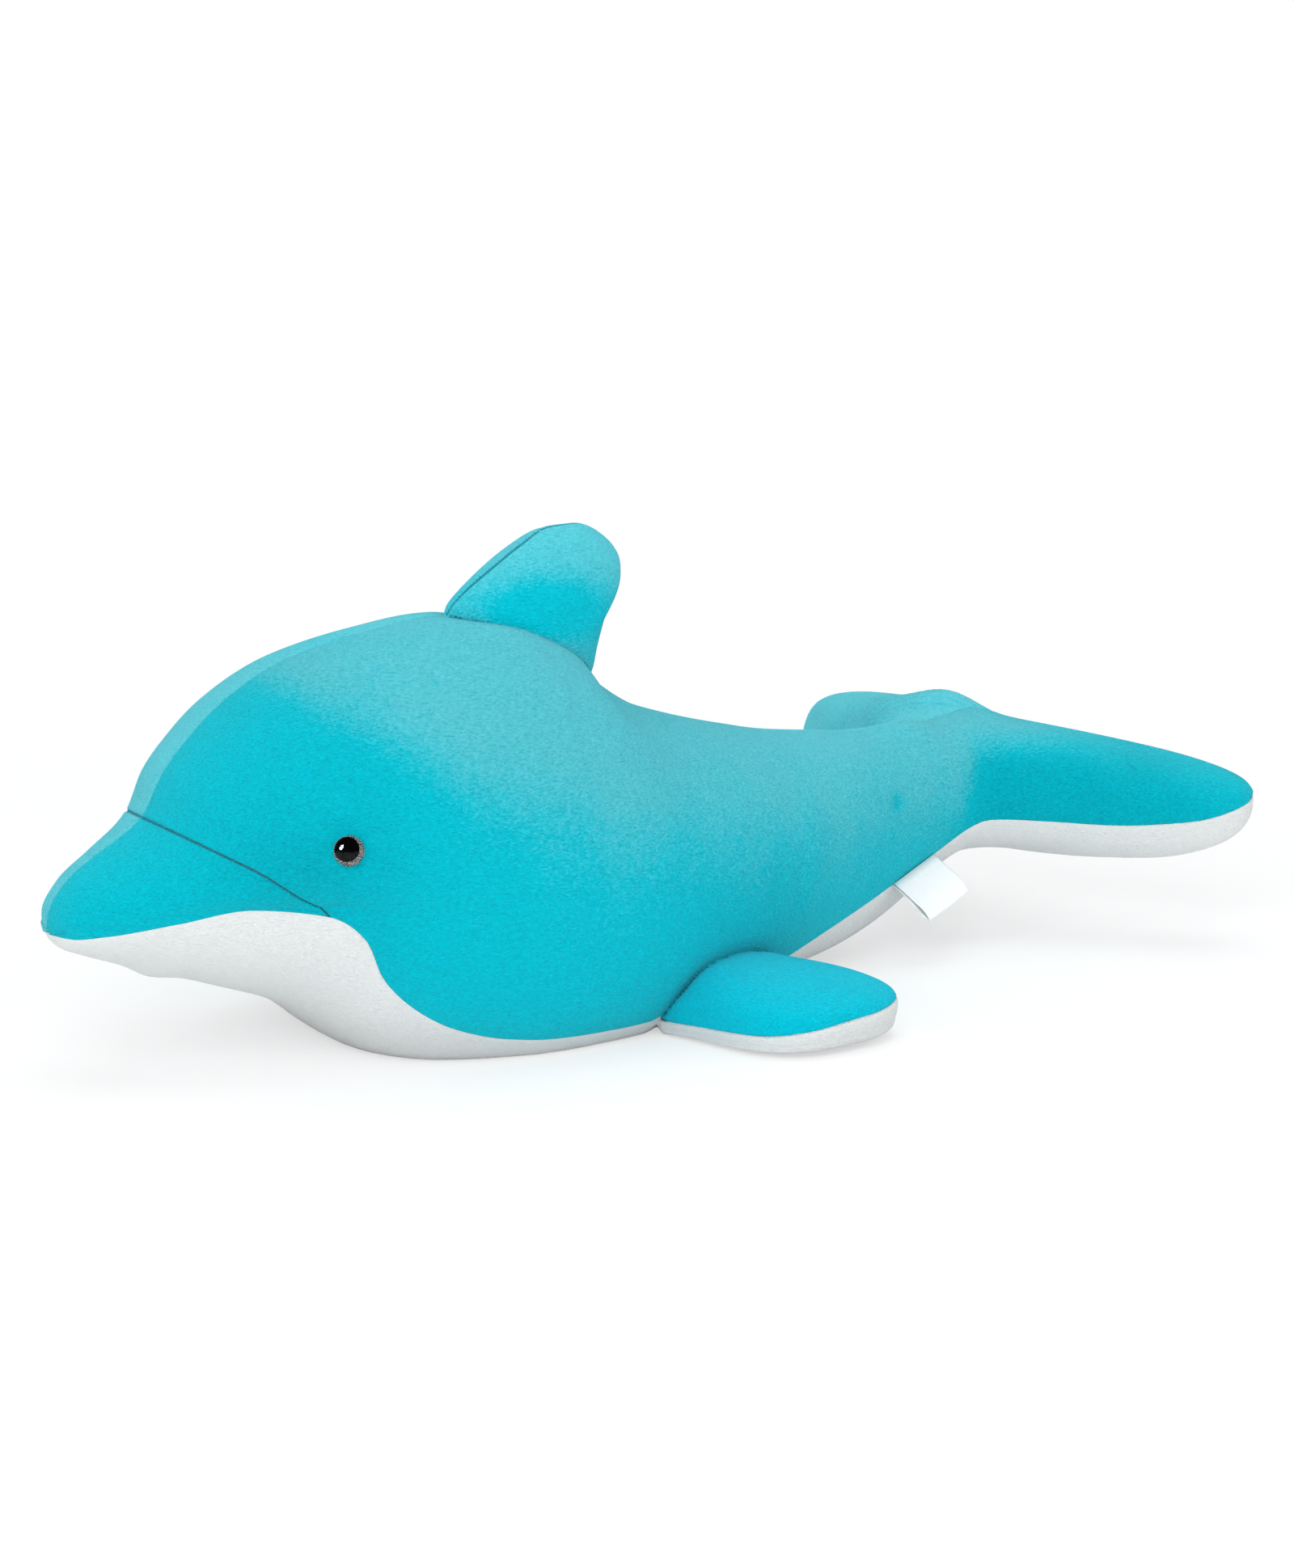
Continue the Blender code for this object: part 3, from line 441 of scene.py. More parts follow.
def fin_point(share, turn, side):
    """Fin panel: from root to edge by the sine of the turn, bulging by its cosine.

    The front of the edge seam lies a little to the left of the middle plane.
    """
    edge_x, edge_z = edge_curve(FIN_EDGE, share)
    root_x = FIN_ROOT[0] + (FIN_ROOT[1] - FIN_ROOT[0]) * share
    root_z = smooth_values(BODY_RINGS[:, 0], BODY_RINGS[:, 1], root_x) - FIN_ROOT_DEPTH
    half = FIN_HALF_THICKNESS * np.sin(math.pi * share.clip(0.0, 1.0)) ** 0.6
    rise = np.sin(turn * math.pi / 2) ** 0.9
    swell = np.cos(turn * math.pi / 2).clip(0.0) ** 0.9
    aside = FIN_SEAM_ASIDE * bump_curve(share, 0.26, 0.18) * (1.0 - swell) ** 2
    return np.stack([root_x + (edge_x - root_x) * rise, -side * half * swell - aside,
                     root_z + (edge_z - root_z) * rise], axis=-1)


def flipper_point(share, turn, side, is_top):
    """Flipper panel: a quarter superellipse from root to edge; the underside lies on the floor.

    At both ends of the root the two panels close on the height of the edge.
    """
    edge_x, edge_y, edge_z = edge_curve(FLIPPER_EDGE, share)
    root_x = FLIPPER_ROOT[0] + (FLIPPER_ROOT[1] - FLIPPER_ROOT[0]) * share
    fullness = FLIPPER_TOP_FULLNESS if is_top else FLIPPER_UNDER_FULLNESS
    out = np.sin(turn * math.pi / 2) ** (2.0 / fullness)
    swell = np.cos(turn * math.pi / 2).clip(0.0) ** (2.0 / fullness)
    closed = np.maximum(1.0 - smooth_step(share, *FLIPPER_FRONT_CLOSING),
                        smooth_step(share, *FLIPPER_REAR_CLOSING))
    crest = np.sin(math.pi * share.clip(0.0, 1.0)) ** 0.5 * (1.0 - closed)
    x = root_x + (edge_x - root_x) * out
    y = FLIPPER_ROOT_INSET + (edge_y - FLIPPER_ROOT_INSET) * out
    if is_top:
        z = edge_z + (FLIPPER_TOP_HEIGHT - edge_z) * crest * swell
    else:
        z = edge_z * (closed + (1.0 - closed) * (1.0 - swell) ** FLIPPER_PRESS)
    return np.stack([x, -side * y, z], axis=-1)


def pillow_grid(surface, rows, columns):
    """Points of a pillow's panel, packed at its edge seam, without the last bit of both ends."""
    share = np.linspace(PILLOW_END, 1.0 - PILLOW_END, rows + 1)[:, None]
    turn = crowded(columns, at_start=False)[None, :]
    share, turn = np.broadcast_arrays(share, turn)
    return surface(share, turn)


PILLOWS = {}
for side, word in ((1, "left"), (-1, "right")):
    PILLOWS["fin_" + word] = (lambda a, b, s=side: fin_point(a, b, s), side)
    PILLOWS[word + "_flipper_top"] = (lambda a, b, s=side: flipper_point(a, b, s, True), -side)
    PILLOWS[word + "_flipper_underside"] = (lambda a, b, s=side: flipper_point(a, b, s, False), side)
pillow_points = {name: pillow_grid(surface, PILLOW_ROWS, PILLOW_COLUMNS)
                 for name, (surface, _) in PILLOWS.items()}
print("pillow panels:", sorted(PILLOWS))

# %% [markdown]
# ## Where the fin and flippers meet the body
# The real seam pulls the body in along each root. The line of that seam is
# where a pillow's surface comes out of the skin. For each line of the pillow
# from root to edge, the first point on the outer side of the nearest piece of
# skin is on the seam.

# %% Find the root seams
ROOT_PULL = 0.0012
MOST_PAIRS = 8000000


def nearest(points, targets):
    """Number of the nearest target for each point, and how far it is, in blocks of points."""
    index, far = [], []
    for block in np.array_split(points, max(1, len(points) * len(targets) // MOST_PAIRS)):
        square = ((block ** 2).sum(1)[:, None] + (targets ** 2).sum(1)[None, :] - 2 * block @ targets.T)
        index.append(square.argmin(axis=1))
        far.append(np.sqrt(square.min(axis=1).clip(0.0)))
    return np.concatenate(index), np.concatenate(far)


probe_rings = even_rings(9.0, 19.0, 0.004)
probe = np.concatenate([body_lines(probe_rings, np.linspace(0, 1, 61), np.linspace(0, 1, 41), side)
                        for side in (1, -1)], axis=1)
half_columns = probe.shape[1] // 2
probe_normal = np.concatenate([outward_normals(probe[:, :half_columns], -1),
                               outward_normals(probe[:, half_columns:], 1)], axis=1)
probe, probe_normal = probe.reshape(-1, 3), probe_normal.reshape(-1, 3)


def root_seam(points, pull):
    """Line on which a pillow comes out of the skin, pulled in so far, and the way along it."""
    lines = points[::2]
    flat = lines.reshape(-1, 3)
    index, _ = nearest(flat, probe)
    height = ((flat - probe[index]) * probe_normal[index]).sum(axis=1).reshape(lines.shape[:2]) + pull
    first = np.argmax(height > 0.0, axis=1)
    lines, height, first = lines[first > 0], height[first > 0], first[first > 0]
    row = np.arange(len(lines))
    after, before = height[row, first], height[row, first - 1]
    share = (after / (after - before))[:, None]
    line = lines[row, first] * (1 - share) + lines[row, first - 1] * share
    for _ in range(3):
        line[1:-1] = (line[:-2] + 2 * line[1:-1] + line[2:]) / 4
    way = np.concatenate([[0.0], np.cumsum(np.linalg.norm(np.diff(line, axis=0), axis=1))])
    return line, way


root_seams = {name: root_seam(points, 0.0 if "underside" in name else ROOT_PULL)
              for name, points in pillow_points.items()}
print({name: round(float(way[-1]) * 1000) for name, (_, way) in root_seams.items()}, "mm of root seam")

# %% [markdown]
# ## Velvety pile as a node group
# Short pile plush has two looks: brushed one way it drinks the light and looks
# deep, brushed the other way its tips catch the light and it looks pale. A
# texture picture could hold these patches. Here each point carries a number,
# nap and painted light together, and noise frays the border between the two
# looks. The pale look is painted sheen of lit fibre tips. Finer noise makes
# the tufts, as a small change of colour and as height for a Bump node.

# %% Short ways to make nodes
def new_group(name, inputs, outputs):
    """An empty shader group with its named sockets."""
    group = bpy.data.node_groups.new(name, "ShaderNodeTree")
    for socket, kind, value in inputs:
        made = group.interface.new_socket(socket, in_out="INPUT", socket_type=kind)
        made.default_value = value
    for socket, kind in outputs:
        group.interface.new_socket(socket, in_out="OUTPUT", socket_type=kind)
    return group, group.nodes.new("NodeGroupInput"), group.nodes.new("NodeGroupOutput")


def node(tree, kind, links=None, **settings):
    """A node with its settings, and its inputs linked or set."""
    made = tree.nodes.new(kind)
    for key, value in settings.items():
        setattr(made, key, value)
    for key, value in (links or {}).items():
        if isinstance(value, bpy.types.NodeSocket):
            tree.links.new(value, made.inputs[key])
        else:
            made.inputs[key].default_value = value
    return made


def maths(tree, operation, *values):
    """A Math node's result."""
    made = node(tree, "ShaderNodeMath", dict(enumerate(values)), operation=operation)
    return made.outputs[0]


def vector_maths(tree, operation, *values):
    """A Vector Math node, whose result is a vector or a value."""
    return node(tree, "ShaderNodeVectorMath", dict(enumerate(values)), operation=operation)


def blended(tree, factor, first, second, way="MIX"):
    """A colour Mix node's result."""
    return node(tree, "ShaderNodeMix", {0: factor, 6: first, 7: second},
                data_type="RGBA", blend_type=way).outputs[2]


def ramped(tree, value, low, high, to_low=0.0, to_high=1.0):
    """A smooth Map Range of a value."""
    return node(tree, "ShaderNodeMapRange", {"Value": value, "From Min": low, "From Max": high,
                "To Min": to_low, "To Max": to_high}, interpolation_type="SMOOTHSTEP").outputs[0]


def noise(tree, place, scale, detail=2.0):
    """Noise from 0 to 1 at a scale per metre."""
    return node(tree, "ShaderNodeTexNoise", {"Vector": place, "Scale": scale, "Detail": detail}).outputs[0]


print("node helpers are ready")

# %% [markdown]
# Every plush uses the pile, each with its own colours, so it is a node group.
# The nap with its painted light and two sizes of noise are added up; where the
# sum is high the pale cloth, painted sheen, shows. The tufts are a little
# longer than wide, as brushed pile is.

# %% Pile group
PILE_STRETCH = (0.62, 1.0, 1.6)
CLOUD_SCALE = 20.0
FRAY_SCALE = 180.0
FINE_TUFTS = 2.2


def make_pile_group():
    """Pile: a frayed blend of deep and pale cloth with tufts; pale is painted sheen, and each point's
    painted light and shade scales the whole.
    """
    tree, given, result = new_group(
        "velvety_pile",
        [("Deep", "NodeSocketColor", (0, 0.5, 0.6, 1)), ("Pale", "NodeSocketColor", (0.1, 0.5, 0.6, 1)),
         ("Nap And Painted Light", "NodeSocketFloat", 0.0), ("Painted Light And Mark", "NodeSocketFloat", 1.0),
         ("Tufts", "NodeSocketFloat", 0.1), ("Scale", "NodeSocketFloat", 520.0)],
        [("Colour", "NodeSocketColor"), ("Height", "NodeSocketFloat")])
    place = node(tree, "ShaderNodeTexCoord").outputs["Object"]
    long_place = node(tree, "ShaderNodeMapping", {"Vector": place, "Scale": PILE_STRETCH}).outputs[0]
    cloud = maths(tree, "MULTIPLY_ADD", noise(tree, place, CLOUD_SCALE, 3.0), 0.5, -0.25)
    fray = maths(tree, "MULTIPLY_ADD", noise(tree, place, FRAY_SCALE, 3.0), 0.24, -0.12)
    tuft = noise(tree, long_place, given.outputs["Scale"], 2.0)
    fine = noise(tree, long_place, maths(tree, "MULTIPLY", given.outputs["Scale"], FINE_TUFTS), 1.0)
    height = maths(tree, "MULTIPLY_ADD", tuft, 0.6, maths(tree, "MULTIPLY", fine, 0.4))
    tips = maths(tree, "MULTIPLY_ADD", height, 1.3, -0.65)
    nap_and_painted_light = maths(tree, "ADD", maths(tree, "ADD", given.outputs["Nap And Painted Light"], cloud), maths(tree, "ADD", fray, tips))
    nap_and_painted_light = ramped(tree, nap_and_painted_light, 0.12, 0.95)
    colour = blended(tree, nap_and_painted_light, given.outputs["Deep"], given.outputs["Pale"])
    light = maths(tree, "MULTIPLY_ADD", maths(tree, "SUBTRACT", height, 0.5), given.outputs["Tufts"],
                  given.outputs["Painted Light And Mark"])
    grey = node(tree, "ShaderNodeCombineColor", {0: light, 1: light, 2: light}).outputs[0]
    tree.links.new(blended(tree, 1.0, colour, grey, "MULTIPLY"), result.inputs["Colour"])
    tree.links.new(height, result.inputs["Height"])
    return tree


PILE_GROUP = make_pile_group()
print("pile group has", len(PILE_GROUP.nodes), "nodes")

# %% [markdown]
# At a seam the cloth turns in and the thread pulls it tight, so shade gathers
# there; the dark line is painted shade. Threads could be modelled one by one.
# They are hidden in the pile, so a line of varying width, from the distance to
# the seam and the way along it, is enough.

# %% Sewn edge group
STITCH_PITCH = 0.0021


def make_seam_group():
    """Sewn edge: a dark line of painted shade at the seam, broken into stitches, from the distance to it and
    along it.
    """
    tree, given, result = new_group(
        "sewn_edge",
        [("Colour", "NodeSocketColor", (0, 0.5, 0.6, 1)), ("Seam Shade", "NodeSocketColor", (0, 0.2, 0.3, 1)),
         ("Edge", "NodeSocketFloat", 1.0), ("Run", "NodeSocketFloat", 0.0),
         ("Pitch", "NodeSocketFloat", STITCH_PITCH), ("Width", "NodeSocketFloat", 0.001),
         ("Strength", "NodeSocketFloat", 0.8)],
        [("Colour", "NodeSocketColor"), ("Mask", "NodeSocketFloat")])
    turned = maths(tree, "MULTIPLY", given.outputs["Run"], 2 * math.pi)
    wave = maths(tree, "SINE", maths(tree, "DIVIDE", turned, given.outputs["Pitch"]))
    width = maths(tree, "MULTIPLY", given.outputs["Width"], maths(tree, "MULTIPLY_ADD", wave, 0.35, 1.0))
    mask = ramped(tree, maths(tree, "DIVIDE", given.outputs["Edge"], width), 0.15, 1.0, 1.0, 0.0)
    mask = maths(tree, "MULTIPLY", mask, given.outputs["Strength"])
    colour = blended(tree, mask, given.outputs["Colour"], given.outputs["Seam Shade"])
    tree.links.new(colour, result.inputs["Colour"])
    tree.links.new(mask, result.inputs["Mask"])
    return tree


SEAM_GROUP = make_seam_group()
print("stitches are", round(STITCH_PITCH * 1000, 1), "mm long")

# %% [markdown]
# Three blues and one white are made from the two groups. The blue cloth is the
# same everywhere; the fin and flippers get lighter copies of it, painted light
# where they take the light from above.

# %% Plush materials
def attribute(tree, name):
    """A number that each point of the piece carries."""
    return node(tree, "ShaderNodeAttribute", attribute_name=name).outputs["Fac"]


def new_material(name, **constants):
    """A material with constants set on its Principled shader."""
    material = bpy.data.materials.new(name)
    material.use_nodes = True
    shader = material.node_tree.nodes["Principled BSDF"]
    for key, value in constants.items():
        shader.inputs[key.replace("_", " ")].default_value = value
    return material, material.node_tree, shader


SEAM_WIDTH = 0.0009
TUFT_HEIGHT = 0.0017


def plush_material(name, deep, pale, seam_shade, sheen, tufts=0.80, scale=640.0):
    """Plush cloth: pile, sewn edges, a soft sheen of fibre tips and hardly any gloss."""
    material, tree, shader = new_material(name, Sheen_Weight=sheen, Sheen_Roughness=0.45,
                                          Specular_IOR_Level=0.04, Roughness=0.95)
    pile = node(tree, "ShaderNodeGroup", {
        "Deep": (*deep, 1), "Pale": (*pale, 1), "Nap And Painted Light": attribute(tree, "nap_and_painted_light"),
        "Painted Light And Mark": attribute(tree, "painted_light_and_mark"), "Tufts": tufts, "Scale": scale}, node_tree=PILE_GROUP)
    seam = node(tree, "ShaderNodeGroup", {
        "Colour": pile.outputs["Colour"], "Seam Shade": (*seam_shade, 1), "Edge": attribute(tree, "edge"),
        "Run": attribute(tree, "run"), "Width": SEAM_WIDTH, "Strength": attribute(tree, "shown")},
        node_tree=SEAM_GROUP)
    sunk = maths(tree, "MULTIPLY", seam.outputs["Mask"], 0.8)
    height = maths(tree, "SUBTRACT", pile.outputs["Height"], sunk)
    bump = node(tree, "ShaderNodeBump", {"Height": height, "Strength": 1.0, "Distance": TUFT_HEIGHT})
    tree.links.new(seam.outputs["Colour"], shader.inputs["Base Color"])
    tree.links.new(bump.outputs["Normal"], shader.inputs["Normal"])
    material.diffuse_color = (*deep, 1)
    return material


# Deep is the plain colour of the pile, pale is painted sheen of lit fibre tips, and the third colour is the
# painted shade of the seams.
BLUE_PLUSH = plush_material("turquoise_plush", (0.000, 0.462, 0.568), (0.085, 0.480, 0.555),
                            (0.000, 0.180, 0.260), 0.07)
PAINTED_LIGHTER_FIN_PLUSH = plush_material("turquoise_plush_painted_lighter_fin", (0.000, 0.505, 0.625), (0.085, 0.545, 0.635),
                           (0.000, 0.200, 0.290), 0.07)
PAINTED_LIGHTER_FLIPPER_PLUSH = plush_material("turquoise_plush_painted_lighter_flipper", (0.000, 0.495, 0.640), (0.050, 0.540, 0.650),
                               (0.000, 0.120, 0.200), 0.06, scale=720.0)
WHITE_PLUSH = plush_material("white_plush_cloth", (0.710, 0.725, 0.728), (0.765, 0.785, 0.785),
                             (0.420, 0.500, 0.520), 0.05, tufts=0.12, scale=700.0)
print("plush materials:", BLUE_PLUSH.name, PAINTED_LIGHTER_FIN_PLUSH.name, PAINTED_LIGHTER_FLIPPER_PLUSH.name, WHITE_PLUSH.name)

# %% [markdown]
# ## Cloth panels of the body
# Each panel is the plain skin plus a height along its normal: the blown-up
# cloth, a narrow groove where it turns in to its seam, a dimple round the eye,
# the pull of the roots, and a few folds laid where the photograph shows them.
# Solidify then gives the cloth its thickness.

# %% Folds
DENT_PLACE = (0.1421, -0.0210, 0.0888)
CREASE_CENTRE = (0.195, 0.055)
CREASE_PITCH = 0.0090
CREASE_HEIGHT = 0.0012
FOLDS = [  # centre, direction, half length, half width and rise, all in metres
    ((0.0640, -0.0570, 0.0800), (0.12, 0.2, 1.0), 0.030, 0.0070, 0.0012),  # soft folds of the tail
    ((0.0520, -0.0600, 0.0820), (0.12, 0.2, 1.0), 0.030, 0.0060, -0.0012),
    ((0.0880, -0.0480, 0.0850), (0.10, 0.2, 1.0), 0.026, 0.0060, -0.0008),
    (DENT_PLACE, (1.0, 0.3, 0.0), 0.0050, 0.0045, -0.0018),  # dent over the label
    ((-0.0360, -0.0330, 0.1720), (0.3, 1.0, 0.6), 0.024, 0.0150, -0.0075),  # saddle behind the fin
    ((-0.0360, 0.0330, 0.1720), (0.3, -1.0, 0.6), 0.024, 0.0150, -0.0075),
    ((-0.0830, -0.0300, 0.1980), (1.0, 0.0, -0.3), 0.028, 0.0140, 0.0030),  # fullness under the fin
    ((-0.2830, 0.0, 0.0480), (0.2, 1.0, 0.0), 0.030, 0.0120, 0.0035),  # chin
    ((-0.2128, -0.0829, 0.1275), (1.0, 0.1, 0.1), 0.0080, 0.0018, -0.0007),  # pucker over the eye
    ((0.2460, 0.0900, 0.1150), (0.5, 0.866, 0.0), 0.032, 0.0220, 0.0080),  # humps of the right fluke
    ((0.2180, 0.1200, 0.1090), (0.5, 0.866, 0.0), 0.030, 0.0150, 0.0025),
    ((0.2070, 0.1900, 0.0960), (0.5, 0.866, 0.0), 0.030, 0.0150, -0.0070),
    ((0.1800, 0.0280, 0.1160), (1.0, 0.3, 0.0), 0.020, 0.0120, 0.0045),  # crest before the flukes
    ((-0.3310, 0.0, 0.0760), (0.0, 1.0, 0.0), 0.030, 0.0140, 0.0020),  # tip of the snout
    ((0.2010, -0.0020, 0.0850), (0.1, 0.1, 1.0), 0.020, 0.0050, -0.0010),  # root of the left fluke
]


def rippled(points):
    """Creases round the root of the right fluke: a sine of the distance from it, from -1 to 1."""
    reach = np.hypot(points[..., 0] - CREASE_CENTRE[0], points[..., 1] - CREASE_CENTRE[1])
    there = smooth_step(points[..., 1], 0.048, 0.070) * smooth_step(points[..., 2], 0.095, 0.108)
    reach = reach + 0.0022 * np.sin(points[..., 0] * 150.0) * np.cos(points[..., 1] * 90.0)
    return np.sin(2 * math.pi * reach / CREASE_PITCH) * bump_curve(reach, 0.042, 0.024) * there


def folded(points):
    """Sum of long bell-shaped ridges, which fall off along and across their lines."""
    rise = np.zeros(points.shape[:-1])
    for centre, way, length, width, height in FOLDS:
        way = np.array(way) / np.linalg.norm(way)
        off = points - np.array(centre)
        along = off @ way
        across = (off ** 2).sum(axis=-1) - along ** 2
        rise += height * np.exp(-(along / length) ** 2 - across / width ** 2)
    return rise + CREASE_HEIGHT * rippled(points)


print(len(FOLDS), "folds, and creases", round(CREASE_PITCH * 1000), "mm apart")

# %% [markdown]
# The grooves, the pinch of the roots and the painted shade of the seams all
# depend on how far a point is from the nearest seam. On a grid whose borders are
# the seams, that is the way walked along a row or a column. A root seam crosses
# the grid, so there the nearest point of its line is looked up.

# %% Distances to the seams
def root_distance(points, names):
    """Distance of each point from the nearest of the root seams, and the way along it."""
    flat = points.reshape(-1, 3)
    far = np.full(len(flat), 1.0)
    way = np.zeros(len(flat))
    for name in names:
        line, along = root_seams[name]
        near_box = ((flat > line.min(axis=0) - 0.04) & (flat < line.max(axis=0) + 0.04)).all(axis=1)
        index, distance = nearest(flat[near_box], line)
        better = distance < far[near_box]
        chosen = np.flatnonzero(near_box)[better]
        far[chosen] = distance[better]
        way[chosen] = along[index[better]]
    return far.reshape(points.shape[:-1]), way.reshape(points.shape[:-1])


def seam_numbers(points, left=0.0, right=0.0, first=0.0, last=0.0):
    """Distance of each point from the nearest sewn edge, the way along it and how much the seam shows, in
    the depth of its groove and its painted shade.
    """
    across = running_length(points, 1)
    along = running_length(points, 0)
    choices = [choice for choice in ((across, along[:, :1], left),
                                     (across[:, -1:] - across, along[:, -1:], right),
                                     (along, across[:1], first),
                                     (along[-1:] - along, across[-1:], last)) if choice[2]]
    edge = np.stack([distance for distance, _, _ in choices])
    run = np.stack([np.broadcast_to(way, across.shape) for _, way, _ in choices])
    pick = edge.argmin(axis=0)[None]
    shown = np.array([seam_shade for _, _, seam_shade in choices])[pick[0]]
    return np.take_along_axis(edge, pick, 0)[0], np.take_along_axis(run, pick, 0)[0], shown


print("distances are measured to", len(root_seams), "root seams and to the borders of the grids")

# %% [markdown]
# Each piece is a mesh built from its grid of points, with its numbers stored as
# attributes for the materials. Points that fall together, at a pole or on a
# closed line, are merged. Cloth gets its thickness inwards from a modifier.

# %% Make a piece from a grid
PLUSH_THICKNESS = 0.0010


def add_piece(name, points, facing, material, replaced, numbers=None, thickness=PLUSH_THICKNESS):
    """A piece from a grid: its faces, the numbers its points carry, and what it stands for."""
    rows, columns = points.shape[:2]
    mesh = bpy.data.meshes.new(name)
    mesh.from_pydata(points.reshape(-1, 3).tolist(), [],
                     grid_faces(rows, columns, flip=facing < 0).tolist())
    for key, value in (numbers or {}).items():
        layer = mesh.attributes.new(key, "FLOAT", "POINT")
        layer.data.foreach_set("value", np.ascontiguousarray(value, dtype=np.float32).reshape(-1))
    merged = bmesh.new()
    merged.from_mesh(mesh)
    bmesh.ops.remove_doubles(merged, verts=merged.verts, dist=0.00001)
    merged.to_mesh(mesh)
    merged.free()
    mesh.shade_smooth()
    mesh.materials.append(material)
    piece = bpy.data.objects.new(name, mesh)
    bpy.context.scene.collection.objects.link(piece)
    if thickness:
        solid = piece.modifiers.new("cloth thickness", "SOLIDIFY")
        solid.thickness = thickness
        solid.offset = -1.0
    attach(piece, "root")
    if replaced:
        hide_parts(*replaced)
    print(name, "has", len(mesh.polygons), "faces")
    return piece


print("plush is", round(PLUSH_THICKNESS * 1000, 1), "mm thick")

# %% [markdown]
# All heights of the body's cloth add up. The swell fades out towards the eye
# and the roots, where thread or a post holds the cloth in.

# %% Heights of the body's cloth
EYE_PLACE = (-0.2140, 0.1160)


def body_heights(points, swell, edge, shown, root, side):
    """Height of the cloth over the plain skin, from all that pushes and pulls it."""
    groove = (0.0004 + 0.0008 * shown) * smooth_step(points[..., 0], -0.332, -0.305)
    off = np.hypot(points[..., 0] - EYE_PLACE[0], points[..., 2] - EYE_PLACE[1])
    off = np.where(points[..., 1] * side < 0.0, off, 1.0)
    height = swell * (1.0 - bump_curve(off, 0.0, 0.016)) * (1.0 - bump_curve(root, 0.0, 0.014))
    height = height - 0.0010 * bump_curve(off, 0.0, 0.010) - groove * bump_curve(edge, 0.0, 0.0011)
    return height - ROOT_PULL * 1.2 * bump_curve(root, 0.0, 0.004) + folded(points)


print("the cloth dips round the eye at", EYE_PLACE, "metres along and up")

# %% [markdown]
# ## Nap, painted light and painted shade
# The back is pale from the forehead seam to the tail, with a slanting frayed
# border over the eye: partly brushed nap, partly painted light from above. The
# sides of the head, the breast and the flukes are deep. The far side is pale
# along the forehead, painted sheen. A second number on each point is painted
# light and shade: it makes whole patches a little lighter or darker where they
# face towards the light or away from it, darkens the roots, the dent and the
# lower near fluke, and carries a dark speck of the cloth.

# %% Nap, painted light and painted shade over the body
MARK_PLACE = (-0.152, -0.057, 0.186)
# Above this border the pile is pale: brushed nap and painted light from above.
NAP_AND_LIGHT_BORDER = np.array([  # along the toy and up, in metres: deep pile below, pale pile above
    (-0.34, 0.32), (-0.27, 0.225), (-0.24, 0.200), (-0.21, 0.178), (-0.17, 0.148), (-0.13, 0.125),
    (-0.08, 0.105), (0.00, 0.095), (0.05, 0.085), (0.10, 0.075), (0.15, 0.075), (0.195, 0.075),
    (0.214, 0.106), (0.23, 0.109)])
NAP_AND_LIGHT_SOFTNESS = np.array([  # along the toy and half the width of the frayed border
    (-0.27, 0.016), (-0.20, 0.028), (-0.12, 0.055), (0.18, 0.060), (0.21, 0.014)])


def spot(points, place, radius):
    """Bell curve of the distance from a place."""
    return bump_curve(np.linalg.norm(points - np.array(place), axis=-1), 0.0, radius)


def body_nap_and_painted_light(points, side):
    """Paleness from 0 to 1, brushed nap and painted light together: high above a slanting line on the side,
    low on the flukes. On the far side painted sheen on the forehead and the fluke, and painted light and
    shade on the creases. Lower in the dent, painted shade, and at a dark speck of the cloth.
    """
    x, z = points[..., 0], points[..., 2]
    border = np.interp(x, *NAP_AND_LIGHT_BORDER.T)
    soft = np.interp(x, *NAP_AND_LIGHT_SOFTNESS.T)
    nap_and_painted_light = smooth_step((z - border) / soft, -1.0, 1.0) * 0.85
    if side < 0:
        nap_and_painted_light = np.maximum(nap_and_painted_light, smooth_step(-x, 0.14, 0.20) * 0.95)
        nap_and_painted_light = np.maximum(nap_and_painted_light, smooth_step(x, 0.16, 0.20) * 0.85) + 0.45 * rippled(points)
    nap_and_painted_light = nap_and_painted_light - 0.1 * smooth_step(-x, 0.15, 0.20)
    return nap_and_painted_light - 0.5 * spot(points, DENT_PLACE, 0.0045) - 1.2 * spot(points, MARK_PLACE, 0.0016)


def body_painted_light_and_mark(points, side):
    """Painted light and shade of the pile, darker to lighter than 1: patches that face towards or away from
    the light, and a dark speck of the cloth.
    """
    x, z = points[..., 0], points[..., 2]
    # Painted light low on the middle of the body; painted shade on the cheek behind the snout seam and over
    # the head.
    painted_light_and_mark = 1.0 + 0.06 * bump_curve(x, -0.10, 0.10) * bump_curve(z, 0.080, 0.060)
    painted_light_and_mark = painted_light_and_mark - 0.13 * bump_curve(x, -0.235, 0.034) * bump_curve(z, 0.105, 0.024)
    painted_light_and_mark = painted_light_and_mark - 0.05 * smooth_step(-x, 0.17, 0.21)
    # The far side: painted light all over.
    if side < 0:
        return painted_light_and_mark + 0.14
    # Painted shade on the lower part of the near fluke and in the dent; the mark is a dark speck of the
    # cloth; painted light on the tail and the tip of the snout.
    on_fluke = smooth_step(x, 0.195, 0.215) * (1.0 - 0.9 * smooth_step(x, 0.28, 0.33))
    painted_light_and_mark = painted_light_and_mark - 0.13 * on_fluke * (1.0 - smooth_step(z, 0.095, 0.110))
    painted_light_and_mark = painted_light_and_mark - 0.07 * spot(points, DENT_PLACE, 0.0045) - 0.45 * spot(points, MARK_PLACE, 0.0014)
    on_tail = smooth_step(x, 0.03, 0.10) * (1.0 - smooth_step(x, 0.18, 0.20))
    return painted_light_and_mark + 0.04 * on_tail + 0.03 * smooth_step(-x, 0.24, 0.30)


print("nap border over the eye is", round(float(np.interp(EYE_PLACE[0], *NAP_AND_LIGHT_BORDER.T)) * 1000), "mm high")

# %% [markdown]
# ## Blue panels
# Each side is two panels: the snout, and all from the forehead to the flukes.
# The seam between them isn't a straight ring: it sags towards the mouth, so the
# rows of both grids are bent there.

